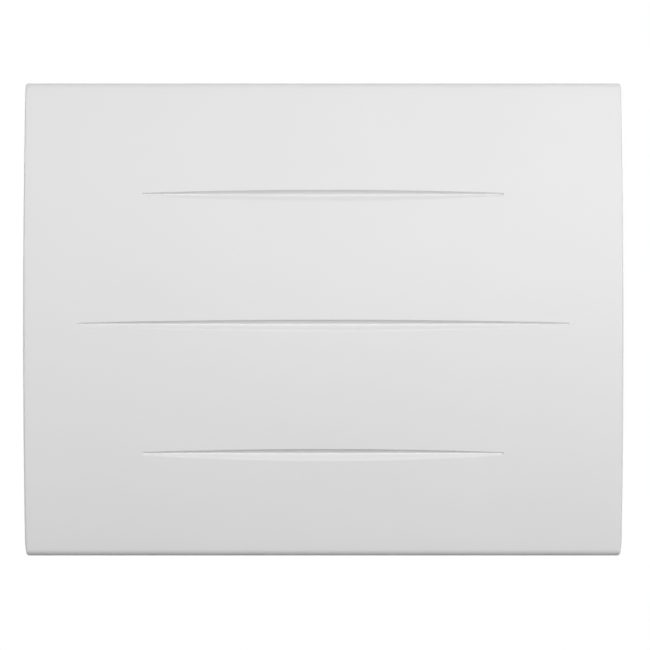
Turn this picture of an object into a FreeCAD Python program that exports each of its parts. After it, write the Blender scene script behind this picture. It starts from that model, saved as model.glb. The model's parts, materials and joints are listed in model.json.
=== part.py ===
"""Wall-hung electric panel radiator with a bowed steel front, built piece by piece in millimetres.

The frame: X runs along the wall to the right as seen from the room, Y runs into the wall, Z is up.
The wall is the plane y = 0, and the origin is the centre of the bracket's four wall holes.
"""

import FreeCAD
import Part

import math
import os

from FreeCAD import Vector

# Driving dimensions of the whole radiator
panel_width = 735.0
panel_height = 583.0
panel_bow = 16.0
overall_depth = 120.0
wall_gap = 22.0
sheet = 1.0
overcut = 1.0
loose = 0.05

# Front panel
top_bend = 6.0
bottom_bend = 8.0
side_bend = 3.5
side_return_y = -70.0
end_return_y = -88.0
corner_lip = 3.2
groove_zs = (153.7, -5.4, -163.7)
groove_half_lengths = (221.0, 301.0, 221.0)
groove_rise = 5.2
groove_shoulder = (2.3, 3.05)
groove_valley = 2.0
groove_fall = 7.2
groove_depth = 4.8
groove_end_share = 0.28
groove_end_depth = 1.9
groove_lead_in = 4.0
groove_tool_reach = 60.0
hook_tab_xs = (-280.0, -70.0, 140.0)
hook_tab_y = -93.0
hook_tab_width = 20.0
hook_tab_drop = 9.0
hook_tab_thickness = 1.2
hook_tab_slack = 0.4
panel_screw_xs = (-250.0, 0.0, 250.0)
panel_screw_y = -93.0
panel_screw_radius = 1.85
panel_screw_head = (3.6, 2.6)
panel_screw_length = 10.0

# Rear casing
casing_half_width = 363.5
casing_front_y = -92.0
casing_flange = 12.0
casing_bend = 2.5
opening_half_width = 355.0
corner_notch = 5.0
back_vent_zs = (-235.0, 232.0)
back_vent_xs = (-262.0, 130.0)
back_vent_pitch = 28.0
back_vent_size = (18.0, 5.0)
swage_zs = (-45.0, 30.0)
swage_half_length = 130.0
swage_radius = 5.0
swage_height = 2.5
clip_places = ((-81.0, -180.0), (-81.0, 180.0))
clip_size = (12.0, 26.0)
clip_stem_radius = 3.0
clip_stem_length = 5.0

# Air grilles
grille_front_y = -96.5
grille_rear_y = -24.7
grille_recess = 5.0
grille_slot_length = 42.0
grille_slot_width = 6.0
grille_slot_pitch = 11.0
grille_slot_margin = 12.0
grille_edge_gap = 1.0
top_grille_xs = (-354.0, 207.5)
bottom_grille_xs = (-354.0, 354.0)
bottom_slot_end_x = 270.0
grille_screw_y = -28.5
grille_screw_length = 6.0
top_screw_xs = (-330.0, -70.0, 190.0)
bottom_screw_xs = (-330.0, 0.0, 330.0)

# Round-headed screws
screw_radius = 1.5
screw_hole_radius = 2.0
screw_head_radius = 3.2
screw_head_height = 1.8

# Radiant plate and heating film behind the front panel
plate_offset = 9.0
plate_thickness = 1.0
film_thickness = 0.5
plate_half_width = 320.0
plate_half_height = 232.0
film_margin = 12.0
plate_spacer_xs = (-290.0, 0.0, 290.0)
plate_spacer_zs = (-210.0, 210.0)
plate_spacer_radius = 6.0

# Finned heating elements
heater_y = -66.0
heater_zs = {"upper": 12.0, "lower": -150.0}
heater_xs = (-300.0, 220.0)
heater_boss_radius = 10.0
heater_fin_reach = 26.0
heater_fin_thickness = 2.0
heater_fin_angles = (15, 50, 90, 130, 165, 195, 230, 270, 310, 345)
rod_radius = 4.0
rod_overhang = 20.0
pin_radius = 1.6
pin_length = 9.0
bush_radius = 6.5
bush_flange_radius = 9.0
bush_flange = 3.0
bush_nose = 1.0
heater_bracket_thickness = 1.2
heater_bracket_xs = {"left": -312.0, "right": 232.0}
heater_bracket_zs = (-190.0, 52.0)
heater_bracket_front_y = -88.0
heater_foot_width = 16.0
heater_foot_screw = 9.6
heater_screw_length = 9.0

# Heat shield on stand-offs, with the safety cut-out
shield_y = -36.0
shield_thickness = 0.6
shield_xs = (-322.0, 285.0)
shield_zs = (-215.0, 200.0)
shield_lip = 10.0
standoff_radius = 6.0
standoff_bore = 1.6
shield_foot_zs = (-172.0, 34.0)
shield_middle_places = ((-40.0, 170.0), (-40.0, -195.0))
cutout_x = 60.0
cutout_z = 120.0
cutout_radius = 8.0
cutout_height = 6.0
cutout_flange = (11.0, 1.0)
cutout_tab = (0.8, 6.0)
cutout_tab_length = 8.0
cutout_tab_x = 4.0

# Control unit at the right end of the top
fascia_xs = (208.0, 354.0)
fascia_floor = 2.5
fascia_wall = 2.0
fascia_corner = 5.0
window_centre = (250.0, -61.0)
window_opening = (50.0, 20.0)
window_rebate = (54.0, 24.0)
window_thickness = 1.2
window_gap = 0.1
button_names = ("mode", "minus", "plus", "program", "confirm")
button_first_x = 286.0
button_pitch = 13.6
button_y = -61.0
button_size = (9.6, 15.0)
button_proud = 1.0
button_crown = 0.6
button_gap = 0.3
button_rim = (1.2, 1.8, 0.2)
button_stem_radius = 2.0
button_stem_drop = 7.6
button_travel = 1.2
housing_xs = (211.0, 350.0)
housing_ys = (-84.0, -38.0)
housing_floor_z = 224.0
housing_wall = 2.0
housing_corner = 4.0
housing_boss_xs = (236.0, 325.0)
housing_boss_z = 246.0
housing_boss_radius = 5.0
housing_screw_length = 10.0
board_drop = 18.0
board_thickness = 1.6
board_margin = 2.0
board_post_inset = 9.0
board_post_radius = 3.5
board_screw_radius = 1.2
board_screw_head = (2.6, 1.6)
board_screw_length = 8.0
lcd_light_box = (44.0, 20.0)
lcd_glass = (52.0, 24.0)
lcd_glass_thickness = 3.0
lcd_gap = 0.2
tact_size = (6.0, 3.6)
tact_plunger_radius = 1.7
relay_xs = (228.0, 256.0)
relay_ys = (-72.0, -60.0)
relay_height = 16.0
relay_edge = 0.8
terminal_xs = (296.0, 336.0)
terminal_ys = (-76.0, -64.0)
terminal_height = 14.0
terminal_first_x = 300.0
terminal_pitch = 5.4
terminal_count = 7
terminal_mouth = (1.9, 8.0)
wire_slot_xs = (294.0, 340.0)
wire_slot_ys = (-78.0, -62.0)

# Rocker switch in the right side wall
switch_y = -46.0
switch_z = 180.0
switch_bezel = (17.0, 25.0)
switch_bezel_edge = 1.2
switch_cutout = (13.4, 21.4)
switch_body = (13.0, 21.0)
switch_depth = 22.0
switch_proud = 1.6
switch_well_depth = 9.0
switch_blade = (8.0, 4.8, 0.8)
switch_blade_z = 5.0
rocker_size = (9.6, 17.0)
rocker_gap = (0.3, 0.6)
rocker_profile = ((-3.0, -4.0), (2.6, -8.5), (4.4, -7.5), (2.6, 0.0), (4.4, 7.5), (2.6, 8.5), (-3.0, 4.0))
rocker_pivot_inset = 2.0
rocker_pin_radius = 1.5
rocker_pin_length = 1.6
rocker_tilt = 9.0

# Supply cable gland, earth stud and room sensor
gland_x = 300.0
gland_z = -225.0
gland_bore_radius = 4.5
gland_thread_radius = 8.0
gland_thread_length = 12.0
gland_flange = (12.0, 4.0)
gland_dome = (10.0, 7.0, 8.0)
gland_nut_corner = 11.5
gland_nut_height = 5.0
earth_x = 300.0
earth_z = -160.0
earth_stud_radius = 2.0
earth_stud_length = 14.0
earth_head = (4.0, 1.5)
earth_nut = (4.0, 3.0)
sensor_x = 310.0
sensor_y = -61.0
sensor_radius = 2.5
sensor_span = (4.0, 16.0)
sensor_holder_size = (14.0, 10.0, 12.0)

# Inner wiring
wire_radius = 1.3
wire_y = -70.0
wire_bend_share = 0.45
film_lead_xs = (286.0, 296.0)
film_lead_z = 196.0
film_lead_gap = 0.15

# Wall bracket
bracket_sheet = 2.0
bracket_half_width = 200.0
bracket_bend = 2.4
upright_width = 40.0
upright_half_height = 175.0
upright_flange_y = -16.0
wall_hole_x = 178.0
wall_hole_z = 150.0
wall_hole_radius = 3.5
hook_zs = (120.0, -140.0)
hook_neck = 10.0
hook_web = 6.0
hook_nose = 8.0
hook_nose_depth = 5.0
hook_nose_slope = (3.0, 4.0)
hook_heel = 3.0
hook_slack = 0.4
lift_travel = 12.0
lift_slack = 0.5
slot_side_slack = 2.0
rail_height = 30.0
rail_zs = (80.0, -96.0)
rail_end_gap = 1.0
rail_rib = (4.0, 2.4)
rail_rib_margin = 60.0
rivet_x = 188.0
rivet_radius = 2.0
rivet_head = (3.6, 1.4)
catch_xs = {"left": -90.0, "right": 90.0}
catch_width = 16.0
catch_sheet = 0.8
catch_foot_z = 85.0
catch_bend_z = 101.0
catch_rivet_z = 90.0
catch_lean = 5.0
catch_tip_z = 168.0
catch_tip_reach = 6.0
catch_slack = 0.6
catch_window = (20.0, 12.0)
pad_xs = (-120.0, 120.0)
pad_radius = 8.0
pad_gap = 0.3
pad_stem = (2.9, 5.0)

# Places worked out from the driving dimensions
half_width = panel_width / 2
half_height = panel_height / 2
front_y = -overall_depth
edge_y = front_y + panel_bow
back_y = -wall_gap
back_inner_y = back_y - sheet
bow_radius = (half_height**2 + panel_bow**2) / (2 * panel_bow)
bow_centre_y = front_y + bow_radius
inner_z = half_height - sheet
casing_inner_x = casing_half_width - sheet
casing_flange_y = back_y - casing_flange
grille_web_ys = (end_return_y + grille_edge_gap, casing_flange_y - grille_edge_gap)
grille_web_z = inner_z - grille_recess
fascia_bottom_z = grille_web_z
fascia_top_z = fascia_bottom_z + fascia_floor
button_stem_end_z = fascia_bottom_z - button_stem_drop
board_z = fascia_bottom_z - board_drop
board_top_z = board_z + board_thickness
shield_front_y = shield_y - shield_thickness
foot_front_y = shield_front_y - heater_bracket_thickness
foot_screw_xs = (
    heater_bracket_xs["left"] + heater_foot_screw,
    heater_bracket_xs["right"] - heater_foot_screw,
)
standoff_feet = [(x, z) for x in foot_screw_xs for z in shield_foot_zs]
pivot_x = casing_half_width - rocker_pivot_inset
sensor_foot_z = sheet - grille_web_z
film_depth = plate_offset + plate_thickness + film_thickness
rail_y = -2 * bracket_sheet
hook_x = bracket_half_width - bracket_sheet / 2


def span(centre, size):
    """Limits of a length about its middle."""
    return centre - size / 2, centre + size / 2


def ordered(a, b):
    """Two limits, the lower one first."""
    return min(a, b), max(a, b)


def spread(first, last, pitch):
    """Evenly pitched places between two limits, centred between them."""
    count = int((last - first) // pitch) + 1
    start = (first + last - (count - 1) * pitch) / 2
    return [start + i * pitch for i in range(count)]


def box(xs, ys, zs):
    """Block between two limits on each axis."""
    size = [high - low for low, high in (xs, ys, zs)]
    return Part.makeBox(*size, Vector(xs[0], ys[0], zs[0]))


def bar(radius, start, end):
    """Round bar between two points."""
    a, b = Vector(*start), Vector(*end)
    return Part.makeCylinder(radius, (b - a).Length, a, b - a)


def bar_x(radius, xs, y, z):
    """Round bar along X."""
    return bar(radius, (xs[0], y, z), (xs[1], y, z))


def bar_y(radius, x, ys, z):
    """Round bar along Y."""
    return bar(radius, (x, ys[0], z), (x, ys[1], z))


def bar_z(radius, x, y, zs):
    """Round bar along Z."""
    return bar(radius, (x, y, zs[0]), (x, y, zs[1]))


def joined(first, *others):
    """One solid from pieces that overlap or touch."""
    return first.fuse(list(others)).removeSplitter()


def polygon_face(corners):
    """Flat face inside a closed run of corners."""
    return Part.Face(Part.makePolygon(corners + corners[:1]))


def prism_x(outline, xs):
    """Outline of (y, z) corners, drawn out between two x limits."""
    face = polygon_face([Vector(xs[0], y, z) for y, z in outline])
    return face.extrude(Vector(xs[1] - xs[0], 0, 0))


def edges_along(shape, axis, least):
    """Edges of a shape that run along one axis for at least a length."""
    lengths = {"x": "XLength", "y": "YLength", "z": "ZLength"}
    return [e for e in shape.Edges if getattr(e.BoundBox, lengths[axis]) > least]


def obround(centre, size, zs):
    """Upright block with straight sides along Y and half-round ends."""
    (x, y), (width, length) = centre, size
    radius = width / 2
    ys = span(y, length - width)
    ends = [bar_z(radius, x, end, zs) for end in ys]
    return joined(box(span(x, width), ys, zs), *ends)


def pan_screw(seat, direction, length, radius=screw_radius, head=(screw_head_radius, screw_head_height)):
    """Round-headed screw: the head sits on a point and the shank runs along the direction."""
    seat, along = Vector(*seat), Vector(*direction)
    head_radius, height = head
    crown = seat - along * height
    dome = Part.makeCylinder(head_radius, height, crown, along)
    rim = [e for e in dome.Edges if e.Closed and (e.CenterOfMass - crown).Length < loose]
    dome = dome.makeFillet(height / 2, rim)
    return joined(dome, Part.makeCylinder(radius, length, seat, along))


def bow_y(z, depth=0.0):
    """Where the bowed front lies at height z, a depth behind its outer face."""
    return bow_centre_y - math.sqrt((bow_radius - depth) ** 2 - z**2)


def bow_arc(x, half, depth=0.0):
    """Edge of the bow from -half to +half in height."""
    return Part.Arc(*[Vector(x, bow_y(z, depth), z) for z in (-half, 0.0, half)]).toShape()


def closed_face(edges):
    """Flat face inside loose edges that close on each other."""
    return Part.Face(Part.Wire(Part.__sortEdges__(edges)))


def bow_layer(half_x, half_z, near, far):
    """Bowed plate between two depths behind the outer face of the front panel."""
    edges = [bow_arc(-half_x, half_z, depth) for depth in (near, far)]
    for z in (-half_z, half_z):
        ends = [Vector(-half_x, bow_y(z, depth), z) for depth in (near, far)]
        edges.append(Part.makeLine(*ends))
    return closed_face(edges).extrude(Vector(2 * half_x, 0, 0))


def bowed_block(depth, rear_y):
    """Front panel's envelope, shrunk by a depth all round, with its bends rolled."""
    half_x, half_z = half_width - depth, half_height - depth
    corner_y = bow_y(half_z, depth)
    rear = [(corner_y, half_z), (rear_y, half_z), (rear_y, -half_z), (corner_y, -half_z)]
    straight = Part.makePolygon([Vector(-half_x, y, z) for y, z in rear])
    face = closed_face([bow_arc(-half_x, half_z, depth), *straight.Edges])
    block = face.extrude(Vector(2 * half_x, 0, 0))
    for side, bend in ((1, top_bend), (-1, bottom_bend)):
        corner = Vector(0, corner_y, side * half_z)
        edges = [e for e in edges_along(block, "x", half_width) if (e.CenterOfMass - corner).Length < loose]
        block = block.makeFillet(bend - depth, edges)
    ends = [e for e in block.Edges if e.BoundBox.XLength < loose and e.CenterOfMass.y < rear_y - loose]
    return block.makeFillet(side_bend - depth, ends)


def groove_flank(half_length, rise, offset, slope, side):
    """Slanted prism under an arched edge, which cuts one flank of a groove; side 1 is an upper flank."""
    run = groove_lead_in + 2 * groove_depth
    lift = offset + slope * groove_lead_in
    tip, crest = (side * (rise * share + lift) for share in (groove_end_share, 1.0))
    far = -side * groove_tool_reach
    start, end = Vector(-half_length, -groove_lead_in, tip), Vector(half_length, -groove_lead_in, tip)
    arch = Part.Arc(start, Vector(0, -groove_lead_in, crest), end).toShape()
    corners = [Vector(x, -groove_lead_in, far) for x in (half_length, -half_length)]
    face = closed_face([arch, *Part.makePolygon([end, *corners, start]).Edges])
    return face.extrude(Vector(0, run, -side * slope * run))


def groove_floor(half_length):
    """Upright prism that gives a groove its arched depth and its slanted ends."""
    low = -groove_tool_reach
    outer_x, inner_x = half_length + groove_lead_in, half_length - groove_end_depth
    start, end = (Vector(x, groove_end_depth, low) for x in (-inner_x, inner_x))
    arch = Part.Arc(start, Vector(0, groove_depth, low), end).toShape()
    corners = [Vector(x, -groove_lead_in, low) for x in (outer_x, -outer_x)]
    face = closed_face([arch, *Part.makePolygon([end, *corners, start]).Edges])
    return face.extrude(Vector(0, 0, 2 * groove_tool_reach))


def groove_tools(depth):
    """Lens-shaped pressings with a steep shoulder and a flat valley, a depth behind the outer face."""
    shoulder_height, shoulder_depth = groove_shoulder
    slope = (groove_rise - shoulder_height) / (groove_depth - shoulder_depth)
    ramp_slope = (groove_fall - groove_valley) / groove_depth
    flanks = [
        (groove_rise, 0.0, shoulder_height / shoulder_depth, 1),
        (groove_rise, slope * shoulder_depth - shoulder_height, slope, 1),
        (groove_fall, 0.0, ramp_slope, -1),
    ]
    tools = []
    for z, half_length in zip(groove_zs, groove_half_lengths):
        tool = groove_floor(half_length)
        for flank in flanks:
            tool = tool.common(groove_flank(half_length, *flank))
        tool.translate(Vector(0, depth, 0))
        tool.rotate(Vector(0, 0, 0), Vector(1, 0, 0), math.degrees(math.asin(z / bow_radius)))
        tool.translate(Vector(0, bow_y(z), z))
        tools.append(tool)
    return tools


def panel_screw_seat(x):
    """Flush countersunk head in the underside of the front panel."""
    return Part.makeCone(*panel_screw_head, sheet, Vector(x, panel_screw_y, -half_height), Vector(0, 0, 1))


def front_panel():
    """Bowed steel front with pressed grooves, rolled edges and hook tabs under its top."""
    outer = bowed_block(0.0, side_return_y).cut(groove_tools(0.0))
    inner = bowed_block(sheet, side_return_y + overcut).cut(groove_tools(sheet))
    panel = outer.cut(inner)
    lip = half_width - corner_lip
    for z in (-half_height, inner_z):
        behind = (end_return_y, side_return_y + overcut)
        panel = panel.cut(box((-lip, lip), behind, (z - overcut, z + sheet + overcut)))
    tab_ys = span(hook_tab_y, hook_tab_thickness)
    tab_zs = (inner_z - hook_tab_drop, inner_z + sheet / 2)
    tabs = [box(span(x, hook_tab_width), tab_ys, tab_zs) for x in hook_tab_xs]
    return joined(panel, *tabs).cut([panel_screw_seat(x) for x in panel_screw_xs])


def panel_screws():
    """Flush screws that hold the bottom edge of the front panel."""
    zs = (-half_height + sheet / 2, -half_height + panel_screw_length)
    shanks = [bar_z(panel_screw_radius, x, panel_screw_y, zs) for x in panel_screw_xs]
    return [joined(panel_screw_seat(x), shank) for x, shank in zip(panel_screw_xs, shanks)]


def back_cuts():
    """Everything punched through the casing's back."""
    through = (back_inner_y - overcut, back_y + overcut)
    cuts = []
    slot_width = bracket_sheet + 2 * slot_side_slack
    slot_height = hook_neck + lift_travel + lift_slack
    for x in (-hook_x, hook_x):
        for z in hook_zs:
            cuts.append(box(span(x, slot_width), through, (z - slot_height, z)))
    window_z = catch_tip_z - catch_sheet - catch_slack
    for x in catch_xs.values():
        cuts.append(box(span(x, catch_window[0]), through, (window_z, window_z + catch_window[1])))
    for z in back_vent_zs:
        for x in spread(*back_vent_xs, back_vent_pitch):
            cuts.append(box(span(x, back_vent_size[0]), through, span(z, back_vent_size[1])))
    holes = [(gland_x, gland_z, gland_thread_radius), (earth_x, earth_z, earth_stud_radius)]
    holes += [(x, housing_boss_z, screw_hole_radius) for x in housing_boss_xs]
    holes += [(x, rail_zs[1], pad_stem[0]) for x in pad_xs]
    return cuts + [bar_y(radius + 2 * loose, x, through, z) for x, z, radius in holes]


def with_swage(casing, z):
    """Casing with a long shallow stiffening bead pressed towards the wall."""
    centre_y = back_inner_y + swage_height - swage_radius
    xs = (-swage_half_length, swage_half_length)
    inside, outside = (
        bar_x(radius, xs, centre_y, z).fuse([Part.makeSphere(radius, Vector(x, centre_y, z)) for x in xs])
        for radius in (swage_radius, swage_radius + sheet)
    )
    behind = box((-half_width, half_width), (back_inner_y, 0.0), span(z, 4 * swage_radius))
    return casing.fuse(outside.common(behind)).cut(inside)


def rear_casing():
    """Steel tray that carries everything: back, side walls, and narrow flanges at top and bottom."""
    full = (-casing_half_width, casing_half_width)
    walls = box(full, (casing_front_y, back_y), (-half_height, half_height))
    walls = walls.makeFillet(casing_bend, [e for e in walls.Edges if e.CenterOfMass.y > back_y - loose])
    inside = (-casing_inner_x, casing_inner_x)
    room = box(inside, (casing_front_y - overcut, back_inner_y), (-inner_z, inner_z))
    deep_edges = [e for e in room.Edges if e.CenterOfMass.y > back_inner_y - loose]
    casing = walls.cut(room.makeFillet(casing_bend - sheet, deep_edges))
    cuts = back_cuts()
    for z in (-half_height, inner_z):
        mouth = (casing_front_y - overcut, casing_flange_y)
        zs = (z - overcut, z + sheet + overcut)
        cuts.append(box((-opening_half_width, opening_half_width), mouth, zs))
        notch = (casing_front_y - overcut, end_return_y + grille_edge_gap)
        cuts.append(box((-half_width, half_width), notch, (z - corner_notch, z + sheet + corner_notch)))
    wall_xs = (casing_inner_x - overcut, casing_half_width + overcut)
    cuts.append(box(wall_xs, span(switch_y, switch_cutout[0]), span(switch_z, switch_cutout[1])))
    for side in (-1, 1):
        clip_xs = (side * wall_xs[0], side * wall_xs[1])
        cuts += [bar_x(clip_stem_radius + loose, clip_xs, y, z) for y, z in clip_places]
    for side, xs in ((1, top_screw_xs), (-1, bottom_screw_xs)):
        zs = (side * (inner_z - overcut), side * (half_height + overcut))
        cuts += [bar_z(screw_hole_radius, x, grille_screw_y, zs) for x in xs]
    for z in swage_zs:
        casing = with_swage(casing, z)
    return casing.cut(cuts).removeSplitter()


def panel_clips():
    """Moulded buffers that bridge the gap between the panel's sides and the casing."""
    clips = []
    for side in (-1, 1):
        for y, z in clip_places:
            xs = ordered(side * casing_half_width, side * (half_width - sheet))
            pad = box(xs, span(y, clip_size[0]), span(z, clip_size[1]))
            stem_xs = (side * (casing_half_width - clip_stem_length), side * casing_half_width)
            clips.append(joined(pad, bar_x(clip_stem_radius, stem_xs, y, z)))
    return clips


def grille(xs, slot_xs, side):
    """Recessed air grille, flanged under the panel's return and the casing's flange; side 1 is the top."""
    front, rear = grille_web_ys
    under, web_under = inner_z - sheet, grille_web_z - sheet
    outline = [
        (grille_front_y, inner_z),
        (front, inner_z),
        (front, grille_web_z),
        (rear, grille_web_z),
        (rear, inner_z),
        (grille_rear_y, inner_z),
        (grille_rear_y, under),
        (rear + sheet, under),
        (rear + sheet, web_under),
        (front - sheet, web_under),
        (front - sheet, under),
        (grille_front_y, under),
    ]
    pan = prism_x([(y, side * z) for y, z in outline], xs)
    end_zs = ordered(side * web_under, side * inner_z)
    end_ys = (front - sheet, rear + sheet)
    ends = [box((x, x + sheet), end_ys, end_zs) for x in (xs[0], xs[1] - sheet)]
    slot_ys = span((front + rear) / 2, grille_slot_length)
    slot_zs = ordered(side * (web_under - overcut), side * (grille_web_z + overcut))
    places = spread(*slot_xs, grille_slot_pitch)
    return joined(pan, *ends).cut([box(span(x, grille_slot_width), slot_ys, slot_zs) for x in places])


def top_grille():
    """Warm-air outlet in the top, with slots for the front panel's hook tabs."""
    low, high = top_grille_xs
    pan = grille(top_grille_xs, (low + grille_slot_margin, high - grille_slot_margin), 1)
    zs = (inner_z - sheet - overcut, inner_z + overcut)
    slot_ys = span(hook_tab_y, hook_tab_thickness + 2 * hook_tab_slack)
    cuts = [box(span(x, hook_tab_width + 2 * hook_tab_slack), slot_ys, zs) for x in hook_tab_xs]
    return pan.cut(cuts + [bar_z(screw_radius + loose, x, grille_screw_y, zs) for x in top_screw_xs])


def bottom_grille():
    """Cool-air inlet in the bottom, which the front panel's lower edge is screwed to."""
    pan = grille(bottom_grille_xs, (bottom_grille_xs[0] + grille_slot_margin, bottom_slot_end_x), -1)
    zs = (-inner_z - overcut, sheet - inner_z + overcut)
    cuts = [bar_z(panel_screw_radius + loose, x, panel_screw_y, zs) for x in panel_screw_xs]
    return pan.cut(cuts + [bar_z(screw_radius + loose, x, grille_screw_y, zs) for x in bottom_screw_xs])


def grille_screws():
    """Screws through the casing's flanges into both grilles."""
    screws = []
    for side, xs in ((1, top_screw_xs), (-1, bottom_screw_xs)):
        seats = [(x, grille_screw_y, side * half_height) for x in xs]
        screws += [pan_screw(seat, (0, 0, -side), grille_screw_length) for seat in seats]
    return screws


def plate_spacers():
    """Ceramic blocks that hold the radiant plate off the front panel."""
    gap = bow_layer(half_width, half_height, sheet, plate_offset)
    ys = (front_y, edge_y + plate_offset)
    places = [(x, z) for x in plate_spacer_xs for z in plate_spacer_zs]
    return [bar_y(plate_spacer_radius, x, ys, z).common(gap) for x, z in places]


def radiant_plate():
    """Aluminium plate, bowed like the front, that spreads the film's heat."""
    return bow_layer(plate_half_width, plate_half_height, plate_offset, plate_offset + plate_thickness)


def heating_film():
    """Thin heating film bonded to the back of the radiant plate."""
    half_x, half_z = plate_half_width - film_margin, plate_half_height - film_margin
    return bow_layer(half_x, half_z, film_depth - film_thickness, film_depth)


def heater_profile(z):
    """Extruded aluminium heating element: a bored boss with fins round it."""
    body = bar_x(heater_boss_radius, heater_xs, heater_y, z)
    fins = []
    for angle in heater_fin_angles:
        fin = box(heater_xs, (0.0, heater_fin_reach), span(0.0, heater_fin_thickness))
        fin.rotate(Vector(0, 0, 0), Vector(1, 0, 0), angle)
        fin.translate(Vector(0, heater_y, z))
        fins.append(fin)
    bore_xs = (heater_xs[0] - overcut, heater_xs[1] + overcut)
    return joined(body, *fins).cut(bar_x(rod_radius + loose, bore_xs, heater_y, z))


def heater_rod(z):
    """Sheathed resistance rod with a terminal pin at each end."""
    xs = (heater_xs[0] - rod_overhang, heater_xs[1] + rod_overhang)
    sheath = bar_x(rod_radius, xs, heater_y, z)
    return joined(sheath, bar_x(pin_radius, (xs[0] - pin_length, xs[1] + pin_length), heater_y, z))


def heater_bracket(x, toward):
    """Sheet bracket that holds one end of both elements; its foot points towards the middle."""
    plate_xs = ordered(x, x + toward * heater_bracket_thickness)
    plate = box(plate_xs, (heater_bracket_front_y, shield_front_y), heater_bracket_zs)
    foot_xs = ordered(x, x + toward * heater_foot_width)
    foot = box(foot_xs, (foot_front_y, shield_front_y), heater_bracket_zs)
    through = (plate_xs[0] - overcut, plate_xs[1] + overcut)
    cuts = [bar_x(bush_radius, through, heater_y, z) for z in heater_zs.values()]
    screw_ys = (foot_front_y - overcut, shield_front_y + overcut)
    screw_x = x + toward * heater_foot_screw
    cuts += [bar_y(screw_hole_radius, screw_x, screw_ys, z) for z in shield_foot_zs]
    return joined(plate, foot).cut(cuts)


def heater_bushes():
    """Ceramic bushes that carry the rods in the brackets."""
    bushes = []
    for name, x in heater_bracket_xs.items():
        toward = 1 if name == "left" else -1
        face = x + toward * heater_bracket_thickness
        flange_end = face + toward * bush_flange
        nose_end = x - toward * bush_nose
        for z in heater_zs.values():
            flange = bar_x(bush_flange_radius, (face, flange_end), heater_y, z)
            neck = bar_x(bush_radius - loose, (nose_end, flange_end), heater_y, z)
            bore = bar_x(rod_radius + 2 * loose, (nose_end - toward, flange_end + toward), heater_y, z)
            bushes.append(joined(flange, neck).cut(bore))
    return bushes


def heat_shield():
    """Bright sheet between the elements and the back, with its top and bottom turned forward."""
    plate = box(shield_xs, (shield_front_y, shield_y), shield_zs)
    lip_ys = (shield_y - shield_lip, shield_y)
    low, high = shield_zs
    lip_zs = ((low, low + shield_thickness), (high - shield_thickness, high))
    lips = [box(shield_xs, lip_ys, zs) for zs in lip_zs]
    through = (shield_front_y - overcut, shield_y + overcut)
    places = [*standoff_feet, *shield_middle_places]
    return joined(plate, *lips).cut([bar_y(screw_hole_radius, x, through, z) for x, z in places])


def shield_standoffs():
    """Clinched stand-offs between the casing's back and the heat shield."""
    ys = (shield_y, back_inner_y)
    places = [*standoff_feet, *shield_middle_places]
    return [bar_y(standoff_radius, x, ys, z).cut(bar_y(standoff_bore, x, ys, z)) for x, z in places]


def heater_screws():
    """Screws through the brackets' feet and the shield into the stand-offs."""
    into_back = (0, 1, 0)
    screws = [pan_screw((x, foot_front_y, z), into_back, heater_screw_length) for x, z in standoff_feet]
    places = shield_middle_places
    return screws + [pan_screw((x, shield_front_y, z), into_back, heater_screw_length) for x, z in places]


def thermal_cutout():
    """Bimetal safety cut-out on the heat shield, with two tab terminals."""
    can = bar_y(cutout_radius, cutout_x, (shield_front_y, shield_front_y - cutout_height), cutout_z)
    flange_radius, flange_height = cutout_flange
    flange = bar_y(flange_radius, cutout_x, (shield_front_y, shield_front_y - flange_height), cutout_z)
    thick, wide = cutout_tab
    tab_ys = (cutout_end_y(), shield_front_y - cutout_height + overcut)
    tab_xs = (cutout_x - cutout_tab_x, cutout_x + cutout_tab_x)
    tabs = [box(span(x, thick), tab_ys, span(cutout_z, wide)) for x in tab_xs]
    return joined(can, flange, *tabs)


def cutout_end_y():
    """Front end of the cut-out's tab terminals."""
    return shield_front_y - cutout_height - cutout_tab_length


def button_x(index):
    """Centre of one button along the fascia."""
    return button_first_x + index * button_pitch


def control_fascia():
    """Moulded top of the control unit, sunk below the radiator's top edge."""
    body = box(fascia_xs, (grille_front_y, grille_rear_y), (fascia_bottom_z, inner_z))
    front, rear = grille_web_ys
    inside = (fascia_xs[0] + fascia_wall, fascia_xs[1] - fascia_wall)
    tray = box(inside, (front, rear), (fascia_top_z, inner_z + overcut))
    cuts = [tray.makeFillet(fascia_corner, edges_along(tray, "z", overcut))]
    lip_zs = (fascia_bottom_z - overcut, inner_z - fascia_wall)
    lip_ys = ((grille_front_y - overcut, front - fascia_wall), (rear + fascia_wall, grille_rear_y + overcut))
    cuts += [box(inside, ys, lip_zs) for ys in lip_ys]
    x, y = window_centre
    through = (fascia_bottom_z - overcut, fascia_top_z + overcut)
    rebate = (fascia_top_z - window_thickness, fascia_top_z + overcut)
    for (wide, deep), zs in ((window_opening, through), (window_rebate, rebate)):
        cuts.append(box(span(x, wide), span(y, deep), zs))
    hole = [size + 2 * button_gap for size in button_size]
    cuts += [obround((button_x(i), button_y), hole, through) for i in range(len(button_names))]
    return body.cut(cuts)


def display_window():
    """Clear window that lies flush in the fascia's rebate."""
    x, y = window_centre
    wide, deep = (size - 2 * window_gap for size in window_rebate)
    return box(span(x, wide), span(y, deep), (fascia_top_z - window_thickness, fascia_top_z))


def button(index):
    """Push button: a crowned cap, a rim that stops under the fascia, and a stem over its switch."""
    centre = (button_x(index), button_y)
    overhang, rim_height, rim_gap = button_rim
    rim_zs = (fascia_bottom_z - rim_gap - rim_height, fascia_bottom_z - rim_gap)
    top_z = fascia_top_z + button_proud
    cap = obround(centre, button_size, (rim_zs[0], top_z))
    cap = cap.makeFillet(button_crown, [e for e in cap.Edges if e.BoundBox.ZMin > top_z - loose])
    rim = obround(centre, [size + 2 * overhang for size in button_size], rim_zs)
    return joined(cap, rim, bar_z(button_stem_radius, *centre, (button_stem_end_z, rim_zs[1])))


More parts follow.
